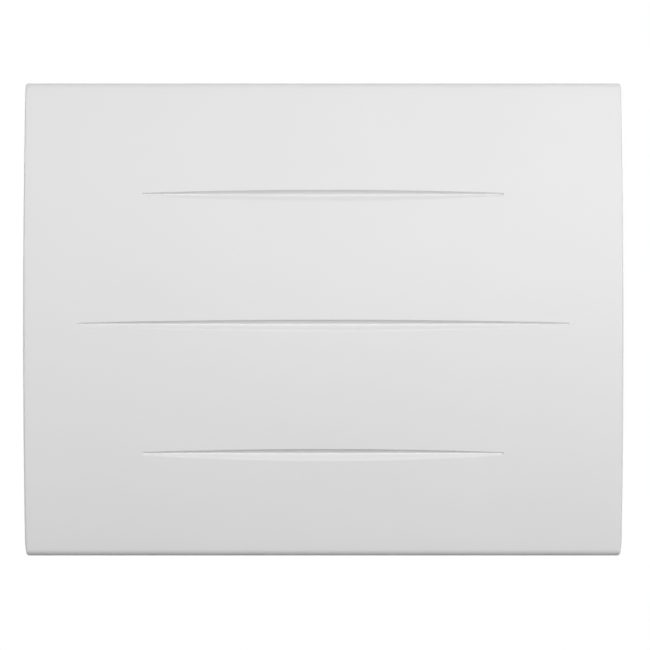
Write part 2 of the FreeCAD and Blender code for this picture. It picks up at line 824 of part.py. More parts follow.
def board_posts():
    """Where the board is screwed down, as (x, y)."""
    xs = (housing_xs[0] + board_post_inset, housing_xs[1] - board_post_inset)
    ys = (housing_ys[0] + board_post_inset, housing_ys[1] - board_post_inset)
    return [(x, y) for x in xs for y in ys]


def inset_limits(inset):
    """Limits in x and y of a space a distance inside the control housing."""
    return [(low + inset, high - inset) for low, high in (housing_xs, housing_ys)]


def control_housing():
    """Moulded box under the fascia, with posts for the board and bosses to the casing's back."""
    shell = box(housing_xs, housing_ys, (housing_floor_z, fascia_bottom_z))
    shell = shell.makeFillet(housing_corner, edges_along(shell, "z", overcut))
    floor_top = housing_floor_z + housing_wall
    room = box(*inset_limits(housing_wall), (floor_top, fascia_bottom_z + overcut))
    shell = shell.cut(room.makeFillet(housing_corner - housing_wall, edges_along(room, "z", overcut)))
    post_zs = (floor_top - overcut, board_z)
    posts = [bar_z(board_post_radius, x, y, post_zs) for x, y in board_posts()]
    boss_ys = (housing_ys[1] - overcut, back_inner_y)
    bosses = [bar_y(housing_boss_radius, x, boss_ys, housing_boss_z) for x in housing_boss_xs]
    pilot_zs = (floor_top, board_z + overcut)
    cuts = [bar_z(board_screw_radius + loose, x, y, pilot_zs) for x, y in board_posts()]
    pilot_ys = (housing_ys[1] + overcut, back_y)
    cuts += [bar_y(screw_radius + loose, x, pilot_ys, housing_boss_z) for x in housing_boss_xs]
    cuts.append(box(wire_slot_xs, wire_slot_ys, (housing_floor_z - overcut, floor_top + overcut)))
    return joined(shell, *posts, *bosses).cut(cuts)


def control_board():
    """Circuit board on the housing's posts."""
    board = box(*inset_limits(housing_wall + board_margin), (board_z, board_top_z))
    through = (board_z - overcut, board_top_z + overcut)
    return board.cut([bar_z(screw_radius, x, y, through) for x, y in board_posts()])


def board_screws():
    """Screws that hold the board to its posts."""
    down = (0, 0, -1)
    style = {"radius": board_screw_radius, "head": board_screw_head}
    return [pan_screw((x, y, board_top_z), down, board_screw_length, **style) for x, y in board_posts()]


def housing_screws():
    """Screws from behind into the control housing's bosses."""
    forward = (0, -1, 0)
    return [pan_screw((x, back_y, housing_boss_z), forward, housing_screw_length) for x in housing_boss_xs]


def lcd_module():
    """Display on its light box, standing on the board under the window."""
    x, y = window_centre
    top = fascia_bottom_z - lcd_gap
    glass_z = top - lcd_glass_thickness
    light_box = box(span(x, lcd_light_box[0]), span(y, lcd_light_box[1]), (board_top_z, glass_z))
    return joined(light_box, box(span(x, lcd_glass[0]), span(y, lcd_glass[1]), (glass_z, top)))


def tact_switches():
    """One small switch on the board under each button."""
    side, height = tact_size
    plunger_zs = (board_top_z + height, button_stem_end_z - button_travel - lcd_gap)
    switches = []
    for i in range(len(button_names)):
        body = box(span(button_x(i), side), span(button_y, side), (board_top_z, board_top_z + height))
        switches.append(joined(body, bar_z(tact_plunger_radius, button_x(i), button_y, plunger_zs)))
    return switches


def power_relay():
    """Relay soldered under the board."""
    case = box(relay_xs, relay_ys, (board_z - relay_height, board_z))
    return case.makeFillet(relay_edge, edges_along(case, "z", overcut))


def terminal_places():
    """Centres of the screw terminals along X."""
    return [terminal_first_x + i * terminal_pitch for i in range(terminal_count)]


def terminal_block():
    """Screw terminals under the board, open towards the wire slot."""
    low = board_z - terminal_height
    body = box(terminal_xs, terminal_ys, (low, board_z))
    radius, depth = terminal_mouth
    return body.cut([bar_z(radius, x, wire_y, (low, low + depth)) for x in terminal_places()])


def power_switch_body():
    """Switch housing in the casing's right wall, with bearing holes for the rocker."""
    face = casing_half_width
    bezel = box((face, face + switch_proud), span(switch_y, switch_bezel[0]), span(switch_z, switch_bezel[1]))
    rim = [e for e in bezel.Edges if e.CenterOfMass.x > face + switch_proud - loose]
    bezel = bezel.makeFillet(switch_bezel_edge, rim)
    body_xs = (face - switch_depth, face)
    body = box(body_xs, span(switch_y, switch_body[0]), span(switch_z, switch_body[1]))
    wide, tall = (size + 2 * gap for size, gap in zip(rocker_size, rocker_gap))
    well = box((face - switch_well_depth, half_width), span(switch_y, wide), span(switch_z, tall))
    bearing_ys = span(switch_y, rocker_size[0] + 2 * rocker_pin_length)
    bearing = bar_y(rocker_pin_radius + loose, pivot_x, bearing_ys, switch_z)
    long, wide, thick = switch_blade
    blade_xs = (body_xs[0] - long, body_xs[0])
    blade_zs = [span(switch_z + side * switch_blade_z, thick) for side in (-1, 1)]
    blades = [box(blade_xs, span(switch_y, wide), zs) for zs in blade_zs]
    return joined(joined(bezel, body).cut([well, bearing]), *blades)


def power_switch_rocker():
    """Rocker with a shallow V face and two pivot stubs, pressed in at its lower half."""
    ys = span(switch_y, rocker_size[0])
    corners = [Vector(pivot_x + x, ys[0], switch_z + z) for x, z in rocker_profile]
    body = polygon_face(corners).extrude(Vector(0, ys[1] - ys[0], 0))
    pin_ys = span(switch_y, rocker_size[0] + 2 * (rocker_pin_length - 2 * loose))
    rocker = joined(body, bar_y(rocker_pin_radius, pivot_x, pin_ys, switch_z))
    rocker.rotate(Vector(pivot_x, switch_y, switch_z), Vector(0, 1, 0), rocker_tilt)
    return rocker


def cable_gland():
    """Moulded gland in the casing's back where the supply cable enters."""
    flange_radius, flange_height = gland_flange
    dome_y = back_y + flange_height
    flange = bar_y(flange_radius, gland_x, (back_y, dome_y), gland_z)
    dome = Part.makeCone(*gland_dome, Vector(gland_x, dome_y, gland_z), Vector(0, 1, 0))
    inner_y = back_y - gland_thread_length
    thread = bar_y(gland_thread_radius, gland_x, (inner_y, dome_y), gland_z)
    bore_ys = (inner_y - overcut, dome_y + gland_dome[2] + overcut)
    return joined(flange, dome, thread).cut(bar_y(gland_bore_radius, gland_x, bore_ys, gland_z))


def gland_nut():
    """Hexagonal lock nut on the gland, inside the casing."""
    corners = []
    for i in range(6):
        angle = math.radians(60 * i)
        x = gland_x + gland_nut_corner * math.cos(angle)
        corners.append(Vector(x, back_inner_y, gland_z + gland_nut_corner * math.sin(angle)))
    nut = polygon_face(corners).extrude(Vector(0, -gland_nut_height, 0))
    bore_ys = (back_inner_y - gland_nut_height - overcut, back_inner_y + overcut)
    return nut.cut(bar_y(gland_thread_radius + loose, gland_x, bore_ys, gland_z))


def earth_stud():
    """Earth stud through the casing's back, with its nut."""
    stud = bar_y(earth_stud_radius, earth_x, (back_y, back_y - earth_stud_length), earth_z)
    head = bar_y(earth_head[0], earth_x, (back_y, back_y + earth_head[1]), earth_z)
    nut = bar_y(earth_nut[0], earth_x, (back_inner_y, back_inner_y - earth_nut[1]), earth_z)
    return joined(stud, head, nut)


def room_sensor():
    """Temperature probe that stands over the inlet."""
    low, high = (sensor_foot_z + height for height in sensor_span)
    tip = Part.makeSphere(sensor_radius, Vector(sensor_x, sensor_y, low))
    return joined(bar_z(sensor_radius, sensor_x, sensor_y, (low, high)), tip)


def sensor_holder():
    """Clip that holds the probe on the bottom grille."""
    wide, deep, tall = sensor_holder_size
    block = box(span(sensor_x, wide), span(sensor_y, deep), (sensor_foot_z, sensor_foot_z + tall))
    bore_zs = (sensor_foot_z + overcut, sensor_foot_z + tall + overcut)
    return block.cut(bar_z(sensor_radius + loose, sensor_x, sensor_y, bore_zs))


def lead(points):
    """Insulated wire along straight runs joined by tangent arcs nearly as large as the runs allow."""
    corners = [Vector(*p) for p in points]
    start, edges = corners[0], []
    for before, corner, after in zip(corners, corners[1:], corners[2:]):
        back, onward = before - corner, after - corner
        cut = wire_bend_share * min(back.Length, onward.Length)
        back.normalize()
        onward.normalize()
        half_angle = back.getAngle(onward) / 2
        radius = cut * math.tan(half_angle)
        bisector = (back + onward).normalize()
        middle = corner + bisector * (cut / math.cos(half_angle) - radius)
        first, last = corner + back * cut, corner + onward * cut
        edges += [Part.makeLine(start, first), Part.Arc(first, middle, last).toShape()]
        start = last
    edges.append(Part.makeLine(start, corners[-1]))
    section = Part.Wire(Part.makeCircle(wire_radius, corners[0], corners[1] - corners[0]))
    return Part.Wire(edges).makePipeShell([section], True, False)


def terminal_run(index, low_z):
    """First straight run of a lead: out of its terminal and down through the wire slot."""
    x = terminal_places()[index]
    mouth_z = board_z - terminal_height + terminal_mouth[1]
    return [(x, wire_y, mouth_z), (x, wire_y, low_z)]


def wiring():
    """Inner leads, each from its terminal to what it feeds."""
    left_pin = heater_xs[0] - rod_overhang - pin_length
    right_pin = heater_xs[1] + rod_overhang + pin_length
    upper, lower = heater_zs["upper"], heater_zs["lower"]
    cutout_y = cutout_end_y()
    live_x, load_x = cutout_x + cutout_tab_x, cutout_x - cutout_tab_x
    probe_z = sensor_foot_z + sensor_span[1]
    routes = {
        "live_lead": [
            *terminal_run(0, 196),
            (230, -60, 150),
            (150, -60, 134),
            (100, cutout_y - 8, 126),
            (live_x, cutout_y - 9, cutout_z),
            (live_x, cutout_y, cutout_z),
        ],
        "cutout_lead": [
            (load_x, cutout_y, cutout_z),
            (load_x, cutout_y - 9, cutout_z),
            (90, -68, 96),
            (180, -72, 72),
            (262, -72, 56),
            (274, -68, 20),
            (262, heater_y, upper),
            (right_pin, heater_y, upper),
        ],
        "neutral_lead": [
            *terminal_run(1, 190),
            (302, -72, 90),
            (296, -72, -40),
            (288, -69, -120),
            (270, heater_y, lower),
            (right_pin, heater_y, lower),
        ],
        "heater_link_lead": [
            (left_pin, heater_y, upper),
            (left_pin - 18, heater_y, upper),
            (left_pin - 18, heater_y, lower),
            (left_pin, heater_y, lower),
        ],
        "earth_lead": [
            *terminal_run(6, 196),
            (344, -62, 80),
            (346, -58, -60),
            (330, -52, -130),
            (earth_x, -50, earth_z),
            (earth_x, back_y - earth_stud_length, earth_z),
        ],
        "sensor_lead": [
            *terminal_run(5, 190),
            (350, -74, 60),
            (354, -72, -90),
            (348, -66, -200),
            (sensor_x, sensor_y, -240),
            (sensor_x, sensor_y, probe_z),
        ],
    }
    return {name: lead(points) for name, points in routes.items()}


def film_leads():
    """Pair of leads from the terminals to the heating film."""
    z = film_lead_z
    film_y = bow_y(z, film_depth) + film_lead_gap
    leads = []
    for index, x in zip((2, 3), film_lead_xs):
        run = terminal_run(index, 214)
        bend = (run[0][0] - 4, -77, 201)
        leads.append(lead([*run, bend, (x, -88, z), (x, film_y, z)]))
    return leads


def hook_outline(z):
    """Side view of a hook whose neck carries the casing's slot edge at height z."""
    nose_y = back_inner_y - hook_slack
    tip_y = nose_y - hook_nose_depth
    root_y = upright_flange_y + overcut
    in_slope, down_slope = hook_nose_slope
    return [
        (root_y, z - hook_neck - hook_web),
        (root_y, z),
        (nose_y, z),
        (nose_y, z + hook_nose),
        (tip_y + in_slope, z + hook_nose),
        (tip_y, z + hook_nose - down_slope),
        (tip_y, z - hook_neck + hook_heel),
        (tip_y + hook_heel, z - hook_neck),
        (upright_flange_y - bracket_sheet, z - hook_neck),
    ]


def upright(side):
    """One upright of the wall bracket: web on the wall, outer flange forward, two hooks on the flange."""
    outer = side * bracket_half_width
    zs = (-upright_half_height, upright_half_height)
    web = box(ordered(outer - side * upright_width, outer), (-bracket_sheet, 0.0), zs)
    flange_xs = ordered(outer - side * bracket_sheet, outer)
    angle = joined(web, box(flange_xs, (upright_flange_y, 0.0), zs))
    corner = Vector(outer, 0, 0)
    tall = edges_along(angle, "z", upright_half_height)
    angle = angle.makeFillet(bracket_bend, [e for e in tall if (e.CenterOfMass - corner).Length < loose])
    through = (-bracket_sheet - overcut, overcut)
    cuts = [bar_y(wall_hole_radius, side * wall_hole_x, through, s * wall_hole_z) for s in (-1, 1)]
    cuts += [bar_y(rivet_radius + loose, side * rivet_x, through, z) for z in rail_zs]
    return joined(angle, *[prism_x(hook_outline(z), flange_xs) for z in hook_zs]).cut(cuts)


def rail(z, rivet_places):
    """Flat cross rail of the bracket with a pressed rib along its middle."""
    half = bracket_half_width - bracket_sheet - rail_end_gap
    flat = box((-half, half), (rail_y, -bracket_sheet), span(z, rail_height))
    rib_half = half - rail_rib_margin
    rib, hollow = (bar_x(radius, (-rib_half, rib_half), -bracket_sheet, z) for radius in rail_rib)
    front = box((-half, half), (rail_y - rail_rib[0], -bracket_sheet), span(z, rail_height))
    through = (rail_y - rail_rib[0], 0.0)
    holes = [bar_y(rivet_radius + loose, x, through, height) for x, height in rivet_places]
    return joined(flat, rib.common(front)).cut([hollow, *holes])


def rail_rivets(z):
    """Rivet places at both ends of a rail, as (x, z)."""
    return [(side * rivet_x, z) for side in (-1, 1)]


def catch_rivet_places():
    """Rivet places of the spring catches on the upper rail, as (x, z)."""
    return [(x, catch_rivet_z) for x in catch_xs.values()]


def rivets(places, front, back):
    """Headed rivets whose heads lie on the front face."""
    head_radius, height = rivet_head
    made = []
    for x, z in places:
        head = bar_y(head_radius, x, (front - height, front), z)
        made.append(joined(head, bar_y(rivet_radius, x, (front, back), z)))
    return made


def spring_catch(x):
    """Spring-steel tongue from the upper rail; its tip stands in a window of the casing's back."""
    lean_y, tip_y = back_y + catch_lean, back_inner_y - catch_tip_reach
    outline = [
        (rail_y, catch_foot_z),
        (rail_y, catch_bend_z),
        (lean_y, catch_tip_z),
        (tip_y, catch_tip_z),
        (tip_y, catch_tip_z - catch_sheet),
        (lean_y - catch_sheet / 2, catch_tip_z - catch_sheet),
        (rail_y - catch_sheet, catch_bend_z),
        (rail_y - catch_sheet, catch_foot_z),
    ]
    tongue = prism_x(outline, span(x, catch_width))
    return tongue.cut(bar_y(rivet_radius + loose, x, (rail_y - overcut, rail_y + overcut), catch_rivet_z))


def bumper_pads():
    """Rubber pads on the casing's back that keep it off the bracket's lower rail."""
    front_of_rail = -bracket_sheet - rail_rib[0]
    stem_radius, stem_length = pad_stem
    pads = []
    for x in pad_xs:
        pad = bar_y(pad_radius, x, (back_y, front_of_rail - pad_gap), rail_zs[1])
        pads.append(joined(pad, bar_y(stem_radius, x, (back_y - stem_length, back_y), rail_zs[1])))
    return pads


def build():
    """Every piece of the radiator by name; a list is a group of identical small pieces."""
    parts = {
        "front_panel": front_panel(),
        "rear_casing": rear_casing(),
        "panel_clips": panel_clips(),
        "panel_screws": panel_screws(),
        "top_grille": top_grille(),
        "bottom_grille": bottom_grille(),
        "grille_screws": grille_screws(),
        "plate_spacers": plate_spacers(),
        "radiant_plate": radiant_plate(),
        "heating_film": heating_film(),
        "film_leads": film_leads(),
        "heater_bushes": heater_bushes(),
        "heater_screws": heater_screws(),
        "heat_shield": heat_shield(),
        "shield_standoffs": shield_standoffs(),
        "thermal_cutout": thermal_cutout(),
        "control_fascia": control_fascia(),
        "display_window": display_window(),
        "control_housing": control_housing(),
        "housing_screws": housing_screws(),
        "control_board": control_board(),
        "board_screws": board_screws(),
        "lcd_module": lcd_module(),
        "tact_switches": tact_switches(),
        "power_relay": power_relay(),
        "terminal_block": terminal_block(),
        "power_switch_body": power_switch_body(),
        "power_switch_rocker": power_switch_rocker(),
        "cable_gland": cable_gland(),
        "gland_nut": gland_nut(),
        "earth_stud": earth_stud(),
        "room_sensor": room_sensor(),
        "sensor_holder": sensor_holder(),
        "bumper_pads": bumper_pads(),
        "bracket_upright_left": upright(-1),
        "bracket_upright_right": upright(1),
        "bracket_rail_upper": rail(rail_zs[0], rail_rivets(rail_zs[0]) + catch_rivet_places()),
        "bracket_rail_lower": rail(rail_zs[1], rail_rivets(rail_zs[1])),
        "bracket_rivets": rivets(rail_rivets(rail_zs[0]) + rail_rivets(rail_zs[1]), rail_y, 0.0),
        "catch_rivets": rivets(catch_rivet_places(), rail_y - catch_sheet, -bracket_sheet),
    }
    for name, z in heater_zs.items():
        parts[f"heater_profile_{name}"] = heater_profile(z)
        parts[f"heater_rod_{name}"] = heater_rod(z)
    for name, x in heater_bracket_xs.items():
        parts[f"heater_bracket_{name}"] = heater_bracket(x, 1 if name == "left" else -1)
    for name, x in catch_xs.items():
        parts[f"spring_catch_{name}"] = spring_catch(x)
    for i, name in enumerate(button_names):
        parts[f"button_{name}"] = button(i)
    parts.update(wiring())
    return parts


def export(name, made):
    """Write one piece, or one group of pieces, as a STEP file."""
    shapes = made if isinstance(made, list) else [made]
    solids = [solid for shape in shapes for solid in shape.Solids]
    shape = solids[0] if len(solids) == 1 else Part.makeCompound(solids)
    shape.exportStep(f"parts/{name}.step")
    sound = all(solid.isValid() and solid.Volume > 0 for solid in solids)
    print(f"{name}: {len(solids)} solid(s), {shape.Volume / 1000:.2f} cm3, sound {sound}")


os.makedirs("parts", exist_ok=True)
for piece, shapes in build().items():
    export(piece, shapes)
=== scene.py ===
"""Looks of a wall-hung electric radiator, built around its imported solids, in metres."""

import json
import math

import bmesh
import bpy
from mathutils import Matrix, Vector


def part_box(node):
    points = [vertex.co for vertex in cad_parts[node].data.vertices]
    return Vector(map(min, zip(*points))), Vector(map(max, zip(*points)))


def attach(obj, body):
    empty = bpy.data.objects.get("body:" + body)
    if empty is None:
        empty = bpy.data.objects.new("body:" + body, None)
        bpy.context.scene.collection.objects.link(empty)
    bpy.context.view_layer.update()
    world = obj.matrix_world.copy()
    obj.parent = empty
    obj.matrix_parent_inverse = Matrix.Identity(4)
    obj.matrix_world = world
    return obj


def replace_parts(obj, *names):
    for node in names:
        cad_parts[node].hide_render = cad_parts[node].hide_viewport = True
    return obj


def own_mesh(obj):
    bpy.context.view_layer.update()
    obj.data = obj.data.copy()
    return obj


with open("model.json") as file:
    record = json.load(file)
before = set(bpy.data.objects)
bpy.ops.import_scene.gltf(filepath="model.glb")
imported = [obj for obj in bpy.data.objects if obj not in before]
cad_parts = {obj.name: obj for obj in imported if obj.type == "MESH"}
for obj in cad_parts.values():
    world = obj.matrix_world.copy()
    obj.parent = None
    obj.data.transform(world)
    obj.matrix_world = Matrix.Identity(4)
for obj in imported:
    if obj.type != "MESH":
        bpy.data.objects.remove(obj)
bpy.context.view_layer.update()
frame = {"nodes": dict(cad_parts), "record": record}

MM = 0.001

# Camera: where the photograph was taken from, level and square to the wall
CAMERA_PLACE = (2.1 * MM, -2.304, -6.7 * MM)
CAMERA_LENS = 98.97
CAMERA_SENSOR = 36.0

# Stage: to the camera the floor is pale with the object's shadow in it, and white towards its edges
FLOOR_Z = -0.62
FLOOR_XS = (-3.0, 3.0)
FLOOR_YS = (-4.0, 0.85)
FLOOR_SHOWN = (0.8, 0.8, 0.8, 1.0)
FLOOR_DULL = (0.1, 0.1, 0.1, 1.0)
FLOOR_GLOWS = (0.42, 1.0)
FLOOR_FADE = (0.75, 1.9)
WHITE = (1.0, 1.0, 1.0, 1.0)
AMBIENT = 0.04

# Soft boxes: place, size across and up, power, aim
SOFT_BOXES = {
    "key": ((0.6, -3.05, 0.72), (3.0, 1.9), 50.5, (0.0, -0.1, 0.0)),
    "left": ((-2.2, -2.3, 0.65), (1.4, 1.2), 28.0, (0.0, -0.1, 0.0)),
    "right": ((2.4, -2.2, 0.65), (1.4, 1.2), 31.0, (0.0, -0.1, 0.0)),
    "top": ((0.0, -0.3, 2.4), (2.4, 1.6), 3.0, (0.0, -0.1, 0.0)),
    "rear": ((0.4, 2.5, 2.1), (5.4, 4.0), 88.0, (0.0, 0.0, 0.0)),
    "rear_left": ((-2.3, 1.8, 0.8), (1.6, 1.4), 16.0, (0.0, -0.05, 0.0)),
    "rear_right": ((2.3, 1.8, 0.8), (1.6, 1.4), 22.0, (0.0, -0.05, 0.0)),
}

# Soft boxes that bare metal doesn't mirror, so that it stays short of white
MATT_BOXES = ("rear",)

# Front panel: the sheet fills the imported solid's box
PANEL_BOW = 16.0 * MM
PANEL_SHEET = 1.0 * MM
TOP_BEND = 7.0 * MM
BOTTOM_BEND = 9.5 * MM
SIDE_BEND = 3.5 * MM
END_RETURN_Y = -88.0 * MM
ROLL_INSETS = {1: 0.25 * MM, -1: 1.0 * MM}
ROLL_INSET_RUN = 2.0 * MM

# Grooves: the height of each valley and half its length, then their section from the top down
GROOVES = ((153.6 * MM, 221.0 * MM), (-5.5 * MM, 301.0 * MM), (-164.0 * MM, 221.0 * MM))
GROOVE_RISE = 5.3 * MM
GROOVE_SHOULDER = (2.3 * MM, 2.75 * MM)
GROOVE_VALLEY = 0.5 * MM
GROOVE_FALL = 7.2 * MM
GROOVE_DEPTH = 4.9 * MM
GROOVE_END_SHARE = 0.28
GROOVE_END_DEPTH = 1.9 * MM
GROOVE_ROUND = 0.25 * MM
GROOVE_RAMP_ROUND = 2.0 * MM
GROOVE_MARGINS = (0.8 * MM, 3.0 * MM)
GROOVE_LEAST_FOOT = 0.15

# Tabs that hang the panel on the casing, under its upper return
HOOK_TAB_XS = (-280.0 * MM, -70.0 * MM, 140.0 * MM)
HOOK_TAB_SIZE = (20.0 * MM, 1.2 * MM, 9.2 * MM)
HOOK_TAB_Y = -93.0 * MM

# Screws, in millimetres: heads by radius and height, recesses by reach, half width and depth
SCREW_SIDES = 24
ROUND_HEAD = (
    (3.2, 0.0), (3.2, 0.7), (3.05, 1.12), (2.7, 1.45), (2.1, 1.68), (1.2, 1.78), (0.0, 1.8)
)
ROUND_RECESS = (1.75, 0.42, 1.3)
ROUND_SHANK_RADIUS = 1.5
FLUSH_HEAD = ((2.6, -1.0), (3.5, -0.08), (3.42, 0.0), (0.0, 0.0))
FLUSH_RECESS = (2.1, 0.46, 1.5)
FLUSH_SHANK_RADIUS = 1.85
FLUSH_SEAT = ((0.0, -1.3), (2.55, -1.3), (3.85, 0.2), (0.0, 0.2))
SHANK_TIP = 0.5
RECESS_TAPER = 0.55
RECESS_CLEAR = 0.05
GRILLE_SCREW_LENGTH = 6.0
HOUSING_SCREW_LENGTH = 10.0
PANEL_SCREW_LENGTH = 10.0

# Where the screws' heads sit: the grilles' by side, 1 for the top and -1 for the bottom
GRILLE_SCREW_XS = {1: (-330.0 * MM, -70.0 * MM, 190.0 * MM), -1: (-330.0 * MM, 0.0, 330.0 * MM)}
GRILLE_SCREW_Y = -28.5 * MM
HOUSING_SCREW_XS = (236.0 * MM, 325.0 * MM)
HOUSING_SCREW_Y = -22.0 * MM
HOUSING_SCREW_Z = 246.0 * MM
PANEL_SCREW_XS = (-250.0 * MM, 0.0, 250.0 * MM)
PANEL_SCREW_Y = -93.0 * MM

# Display digits: the segments that each one lights, and where it stands from the display's middle
DIGITS = (("abged", -11.0 * MM), ("abcdef", -2.0 * MM), ("afgcd", 9.6 * MM))
DIGIT_SIZE = (6.4 * MM, 11.8 * MM)
DIGIT_STROKE = 1.5 * MM
DIGIT_GAP = 0.12 * MM
DIGIT_POINT_X = 3.9 * MM
DEGREE_PLACE = (16.2 * MM, 4.6 * MM)
DEGREE_RADII = (1.4 * MM, 0.7 * MM)

# Signs on the buttons and the rocker, and how far prints reach under and over their surface
PRINT_ZS = (-0.04 * MM, 0.06 * MM)
SIGN_STROKE = 0.8 * MM
SIGN_REACH = 2.3 * MM
SIGN_BAR_PITCH = 1.7 * MM
CLOCK_HANDS = (1.1 * MM, 1.35 * MM)
TICK_MM = ((-2.4, 0.1), (-1.75, 0.75), (-0.75, -0.3), (1.85, 2.2), (2.5, 1.55), (-0.75, -1.6))
RING_SIDES = 32
ROCKER_PIVOT = (361.5 * MM, -46.0 * MM, 180.0 * MM)
ROCKER_TILT = math.radians(9.0)
ROCKER_VALLEY = (2.6 * MM, 0.0)
ROCKER_CREST = (4.4 * MM, 7.5 * MM)
ROCKER_BAR = (0.8 * MM, 3.4 * MM)
ROCKER_RING = (1.7 * MM, 1.05 * MM)

# Spring catches: where the tongue's lean starts and ends, and the depth it keeps at lift-off
CATCH_SHEET = 0.8 * MM
CATCH_BEND = 2.4 * MM
CATCH_LEAN_FROM_Z = 101.0 * MM
CATCH_LEAN_TO_Y = -17.0 * MM
CATCH_BEND_STEPS = 8

# How finely the front panel is divided, and which points and faces of any mesh run together
FACE_ROWS = 12
GROOVE_BAND_ROWS = (5, 9, 7, 4, 11, 7)
ROLL_ROWS = 12
COLUMN_STEP = 6.0 * MM
GROOVE_END_COLUMNS = (0.8 * MM, 0.0, -0.5 * MM, -1.0 * MM, -1.5 * MM, -1.9 * MM, -2.6 * MM)
LEAST_COLUMN_GAP = 0.3 * MM
BEND_COLUMNS = 8
SAME_POINT = 0.001 * MM
SMOOTH_BELOW = math.radians(32.0)

# Looks: where a tint's two shades lie along its pattern, and the rays that ease an edge
TINT_STOPS = (0.3, 0.7)
EDGE_SETTINGS = {"samples": 4}


class Look:
    """One procedural material while it is put together."""

    def __init__(self, name, colour, roughness, metallic=0.0, **sockets):
        self.material = bpy.data.materials.new(name)
        self.material.use_nodes = True
        self.tree = self.material.node_tree
        self.shader = self.tree.nodes["Principled BSDF"]
        self.place = self.node("ShaderNodeTexCoord").outputs["Object"]
        self.put("Base Color", (*colour, 1.0))
        self.put("Roughness", roughness)
        self.put("Metallic", metallic)
        for socket, value in sockets.items():
            self.put(socket.replace("_", " "), value)

    def put(self, socket, value):
        """A value, or the output of another node, on one of the shader's sockets."""
        self.feed(self.shader.inputs[socket], value)

    def feed(self, socket, value):
        """A value, or the output of another node, on any socket."""
        if isinstance(value, bpy.types.NodeSocket):
            self.tree.links.new(value, socket)
        else:
            socket.default_value = value

    def node(self, kind, settings=None, **inputs):
        """A new node with its settings and inputs."""
        made = self.tree.nodes.new(kind)
        for key, value in (settings or {}).items():
            setattr(made, key, value)
        for key, value in inputs.items():
            self.feed(made.inputs[key.replace("_", " ")], value)
        return made

    def stretched(self, stretch):
        """Object coordinates drawn out along an axis."""
        return self.node("ShaderNodeMapping", Vector=self.place, Scale=stretch).outputs["Vector"]

    def noise(self, scale, detail=3.0, stretch=None):
        """Soft noise from 0 to 1."""
        place = self.stretched(stretch) if stretch else self.place
        made = self.node("ShaderNodeTexNoise", Vector=place, Scale=scale, Detail=detail)
        return made.outputs["Fac"]

    def cells(self, scale, output="Distance"):
        """Cell pattern: distance to the nearest cell middle, or a colour for each cell."""
        return self.node("ShaderNodeTexVoronoi", Vector=self.place, Scale=scale).outputs[output]

    def bands(self, direction, scale, distortion=0.0):
        """Stripes from 0 to 1 across a direction."""
        settings = {"bands_direction": direction}
        made = self.node(
            "ShaderNodeTexWave", settings, Vector=self.place, Scale=scale, Distortion=distortion
        )
        return made.outputs["Fac"]

    def between(self, value, low, high):
        """A 0 to 1 pattern brought between two values."""
        made = self.node("ShaderNodeMapRange", Value=value, To_Min=low, To_Max=high)
        return made.outputs["Result"]

    def ramp(self, value, *stops):
        """Colours along a 0 to 1 pattern."""
        made = self.node("ShaderNodeValToRGB", Fac=value)
        elements = made.color_ramp.elements
        while len(elements) < len(stops):
            elements.new(0.5)
        for element, (place, colour) in zip(elements, stops):
            element.position = place
            element.color = (*colour, 1.0)
        return made.outputs["Color"]

    def eased(self, radius):
        """Normal with the sharp edges eased by a small radius."""
        return self.node("ShaderNodeBevel", EDGE_SETTINGS, Radius=radius).outputs["Normal"]

    def bump(self, height, depth, under=None):
        """Surface relief of a real depth, on the shader's normal."""
        made = self.node("ShaderNodeBump", Height=height, Distance=depth)
        if under:
            self.feed(made.inputs["Normal"], under)
        self.put("Normal", made.outputs["Normal"])
        return made.outputs["Normal"]

    def shade(self, pattern, *stops):
        """Base colour that goes through several colours with a pattern."""
        self.put("Base Color", self.ramp(pattern, *stops))

    def tint(self, colour, pattern, swing):
        """Base colour that drifts a little lighter and darker with a pattern."""
        shades = [[c * (1 + s) for c in colour] for s in (-swing, swing)]
        self.shade(pattern, *zip(TINT_STOPS, shades))

    def dull(self, pattern, low, high):
        """Roughness that drifts between two values with a pattern."""
        self.put("Roughness", self.between(pattern, low, high))


def paint(name, colour, roughness, peel, edge=None):
    """Stoved powder coat: faint orange peel over a very slow drift of shade."""
    look = Look(name, colour, roughness)
    look.tint(colour, look.noise(6.0, detail=2.0), swing=0.008)
    look.dull(look.noise(90.0, detail=4.0), roughness - 0.03, roughness + 0.03)
    fine = look.bump(look.noise(2600.0, detail=2.0), peel * 0.3, look.eased(edge) if edge else None)
    look.bump(look.noise(620.0, detail=2.0), peel, fine)
    return look.material


def galvanised(name, colour):
    """Zinc spangle: flat crystals that differ in shade and gloss."""
    look = Look(name, colour, roughness=0.5, metallic=1.0)
    crystals = look.node("ShaderNodeSeparateColor", Color=look.cells(360.0, "Color")).outputs["Red"]
    look.tint(colour, crystals, swing=0.05)
    look.dull(crystals, 0.44, 0.56)
    look.bump(look.noise(1500.0, detail=4.0), 0.012 * MM, look.eased(0.3 * MM))
    return look.material


def plated(name, colour, roughness):
    """Plated steel with a thin uneven film."""
    look = Look(name, colour, roughness, metallic=1.0)
    look.tint(colour, look.noise(260.0, detail=4.0), swing=0.10)
    look.dull(look.noise(900.0, detail=3.0), roughness - 0.08, roughness + 0.10)
    look.bump(look.noise(2200.0, detail=3.0), 0.006 * MM, look.eased(0.15 * MM))
    return look.material


def drawn(name, colour, roughness, depth):
    """Rolled or extruded metal: die lines along X."""
    look = Look(name, colour, roughness, metallic=1.0)
    lines = look.noise(900.0, detail=4.0, stretch=(0.012, 1.0, 1.0))
    look.tint(colour, lines, swing=0.09)
    look.dull(lines, roughness - 0.08, roughness + 0.10)
    look.bump(lines, depth)
    return look.material


